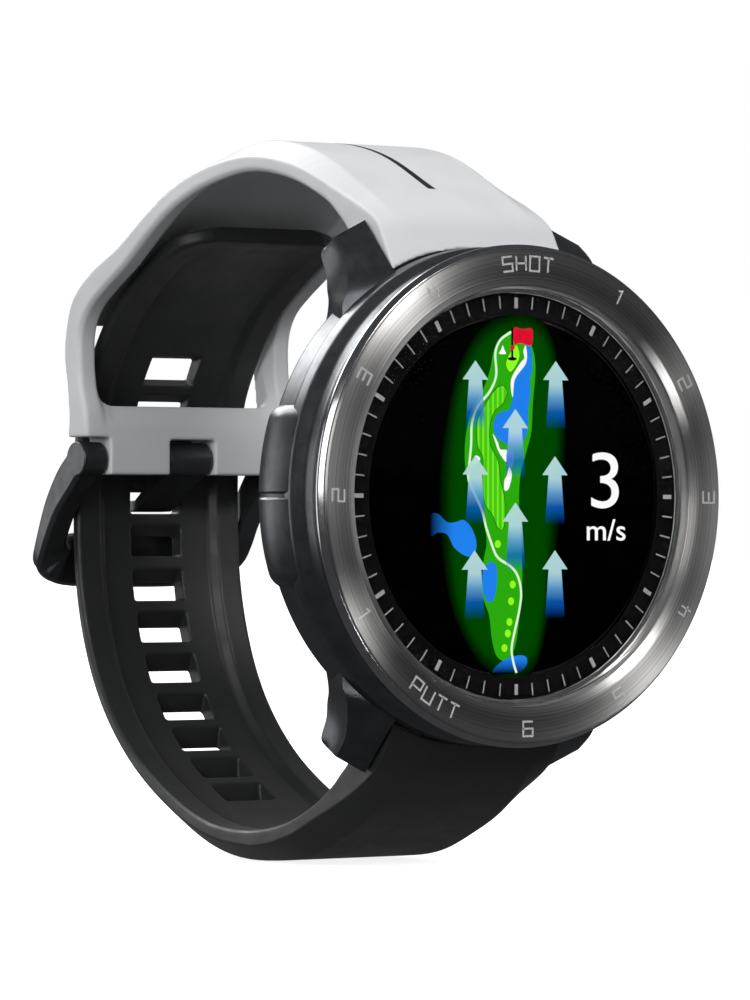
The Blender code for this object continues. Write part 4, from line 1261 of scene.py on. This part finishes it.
def frame_sections():
    mirrored = [(-x, *rest) for x, *rest in reversed(FRAME_PATH[:-1])]
    rows = smooth_rows([*FRAME_PATH, *mirrored], 5)
    path = [Vector(row[:3]) for row in rows]
    sections = []
    for i, centre in enumerate(path):
        before = path[max(i - 1, 0)]
        after = path[min(i + 1, len(path) - 1)]
        along = (after - before).normalized()
        blade = Vector((0, 0.62, -0.78)) if abs(centre.x) > 11 else Vector((0, 0.25, -0.97))
        face = Vector((1, 0, 0)).cross(blade)
        wide = along.cross(face).normalized()
        deep = wide.cross(along).normalized()
        width, depth = rows[i][3:]
        bevel = 0.35
        corners = [
            (width, depth - bevel),
            (width - bevel, depth),
            (-width + bevel, depth),
            (-width, depth - bevel),
            (-width, -depth + bevel),
            (-width + bevel, -depth),
            (width - bevel, -depth),
            (width, -depth + bevel),
        ]
        sections.append([centre + wide * u + deep * v for u, v in corners])
    return sections


def make_buckle():
    made = loft("buckle_d_frame", frame_sections(), BUCKLE)
    for side in (-1, 1):
        low, high = sorted((side * ARM_INNER, side * ARM_OUTER))
        combine(made, rod("knuckle", KNUCKLE_RADIUS, low, high, PIN_Y, PIN_Z), "UNION")
    combine(made, rod("bore", 0.75, -12.85, 12.85, PIN_Y, PIN_Z))
    moulded(made, 0.11, 3)
    placed(made, "buckle_frame", "buckle_metal", "buckle_frame")
    outline = [
        (45.9, 2.9),
        (48.0, 1.6),
        (50.6, -0.1),
        (52.0, -1.0),
        (52.8, -1.3),
        (54.7, -1.35),
        (55.1, -0.95),
        (55.0, -0.3),
        (54.4, -0.2),
        (52.6, -0.1),
        (50.8, 1.2),
        (48.4, 5.0),
    ]
    prong = plate("buckle_broad_prong", outline, -2.4, 2.4, BUCKLE)
    combine(prong, rod("knuckle", KNUCKLE_RADIUS, -2.55, 2.55, PIN_Y, PIN_Z), "UNION")
    combine(prong, rod("bore", 0.75, -4, 4, PIN_Y, PIN_Z))
    moulded(prong, 0.09, 3)
    placed(prong, "buckle_prong", "buckle_metal", "buckle_prong")


# ---------------------------------------------------------------- studio

AZIMUTH_DEG = -37.252
ELEVATION_DEG = -0.362
CAMERA_DISTANCE = 0.5403
LENS_MM = 201.9
DIAL_CENTRE = Vector((0, -10.5 * MM, 0))
# The dial centre's place right of and above the picture's middle, as a share of the distance.
DIAL_RIGHT = 0.02514
DIAL_ABOVE = 0.00067


def make_camera():
    azimuth = math.radians(AZIMUTH_DEG)
    elevation = math.radians(ELEVATION_DEG)
    back = Vector(
        (
            math.sin(azimuth) * math.cos(elevation),
            -math.cos(azimuth) * math.cos(elevation),
            math.sin(elevation),
        )
    )
    right = Vector((math.cos(azimuth), math.sin(azimuth), 0))
    up = back.cross(right)
    data = bpy.data.cameras.new("camera")
    data.lens = LENS_MM
    data.sensor_width = 36.0
    data.clip_start = 0.01
    data.clip_end = 50.0
    made = bpy.data.objects.new("camera", data)
    bpy.context.scene.collection.objects.link(made)
    aim = -back - right * DIAL_RIGHT - up * DIAL_ABOVE
    turn = aim.to_track_quat("-Z", "Y").to_matrix().to_4x4()
    made.matrix_world = Matrix.Translation(DIAL_CENTRE + back * CAMERA_DISTANCE) @ turn
    bpy.context.scene.camera = made


def area_light(name, direction, distance, width, height, radiance, only=""):
    """A softbox that faces the watch. Its power gives the wanted brightness of its face.
    One made only for "gloss" shows as a reflection, and one only for "fill" doesn't."""
    data = bpy.data.lights.new(name, "AREA")
    data.shape = "RECTANGLE"
    data.size = width
    data.size_y = height
    data.energy = radiance * math.pi * width * height
    made = bpy.data.objects.new(name, data)
    bpy.context.scene.collection.objects.link(made)
    away = Vector(direction).normalized()
    turn = (-away).to_track_quat("-Z", "Y").to_matrix().to_4x4()
    made.matrix_world = Matrix.Translation(away * distance + Vector((0, 0.015, 0))) @ turn
    made.visible_diffuse = only != "gloss"
    made.visible_glossy = only != "fill"


def make_world():
    """White behind the watch, and a dim room with a bright ceiling all round it."""
    world = bpy.data.worlds.new("studio")
    bpy.context.scene.world = world
    world.use_nodes = True
    nodes = world.node_tree.nodes
    links = world.node_tree.links
    nodes.clear()
    coordinates = nodes.new("ShaderNodeTexCoord")
    split = nodes.new("ShaderNodeSeparateXYZ")
    links.new(coordinates.outputs["Generated"], split.inputs["Vector"])
    ramp = nodes.new("ShaderNodeValToRGB")
    stops = [(0.0, 0.10), (1.0, 0.90), (0.46, 0.14), (0.56, 0.18), (0.75, 0.55)]
    for i, (place, value) in enumerate(stops):
        stop = ramp.color_ramp.elements[i] if i < 2 else ramp.color_ramp.elements.new(place)
        stop.position = place
        stop.color = (value, value, value * 1.02, 1)
    half = nodes.new("ShaderNodeMath")
    half.operation = "MULTIPLY_ADD"
    half.inputs[1].default_value = 0.5
    half.inputs[2].default_value = 0.5
    links.new(split.outputs["Z"], half.inputs[0])
    links.new(half.outputs[0], ramp.inputs["Fac"])
    room = nodes.new("ShaderNodeBackground")
    links.new(ramp.outputs["Color"], room.inputs["Color"])
    room.inputs["Strength"].default_value = 1.0
    backdrop = nodes.new("ShaderNodeBackground")
    backdrop.inputs["Color"].default_value = (1, 1, 1, 1)
    backdrop.inputs["Strength"].default_value = 1.0
    dark = nodes.new("ShaderNodeBackground")
    dark.inputs["Color"].default_value = (0.1, 0.1, 0.105, 1)
    path = nodes.new("ShaderNodeLightPath")
    seen = room.outputs["Background"]
    for ray, shade in (("Is Glossy Ray", dark), ("Is Camera Ray", backdrop)):
        mix = nodes.new("ShaderNodeMixShader")
        links.new(path.outputs[ray], mix.inputs["Fac"])
        links.new(seen, mix.inputs[1])
        links.new(shade.outputs["Background"], mix.inputs[2])
        seen = mix.outputs["Shader"]
    output = nodes.new("ShaderNodeOutputWorld")
    links.new(seen, output.inputs["Surface"])


def make_floor():
    low = cad_bounds[0][2]
    made = bmesh.new()
    bmesh.ops.create_circle(made, cap_ends=True, segments=96, radius=6.0)
    shader = Shader("studio_floor_pale", 0.9, 0.0)
    shader.colour(shader.noise(3.0), (0.88, 0.88, 0.88, 1), (0.92, 0.92, 0.92, 1))
    shader.base.inputs["Emission Color"].default_value = (1, 1, 1, 1)
    shader.base.inputs["Emission Strength"].default_value = 0.86
    floor = finished(made, "studio_floor", shader.material)
    floor.location = (0, 0, low - 0.00015)
    floor.visible_glossy = False
    floor.visible_diffuse = False


def make_studio():
    make_camera()
    make_world()
    make_floor()
    area_light("key_front_top", (0.10, -0.85, 0.52), 0.9, 0.25, 0.25, 7.5, "fill")
    area_light("soft_left", (-0.85, -0.45, 0.28), 0.9, 0.5, 0.5, 4.6)
    area_light("top", (-0.2, 0.1, 1.0), 1.0, 0.6, 0.6, 1.8, "fill")
    area_light("streak_upper_left", (0.16, -0.84, 0.52), 0.9, 0.17, 0.17, 56.0, "gloss")
    area_light("streak_lower_left", (0.02, -0.93, -0.34), 0.9, 0.15, 0.15, 50.0, "gloss")
    area_light("card_right", (0.95, -0.32, 0.0), 0.9, 0.3, 0.2, 1.5, "gloss")
    area_light("card_front", (0.0, -1.0, 0.0), 0.9, 0.2, 0.1, 2.3, "gloss")
    area_light("back_top", (-0.10, 0.75, 0.62), 0.9, 0.6, 0.45, 9.0, "gloss")
    area_light("back_left", (-0.65, 0.75, 0.05), 0.9, 0.5, 0.5, 2.0, "gloss")
    bpy.context.scene.view_settings.view_transform = "Standard"


dress_cad_nodes()
make_case()
make_side_guard()
make_bezel_and_lens()
make_scale_figures()
make_minute_marks()
make_display()
make_back()
make_button("upper_button", BUTTON_Z)
make_button("lower_button", -BUTTON_Z)
make_upper_strap()
make_strap_stripe()
make_lower_strap()
make_buckle()
make_studio()
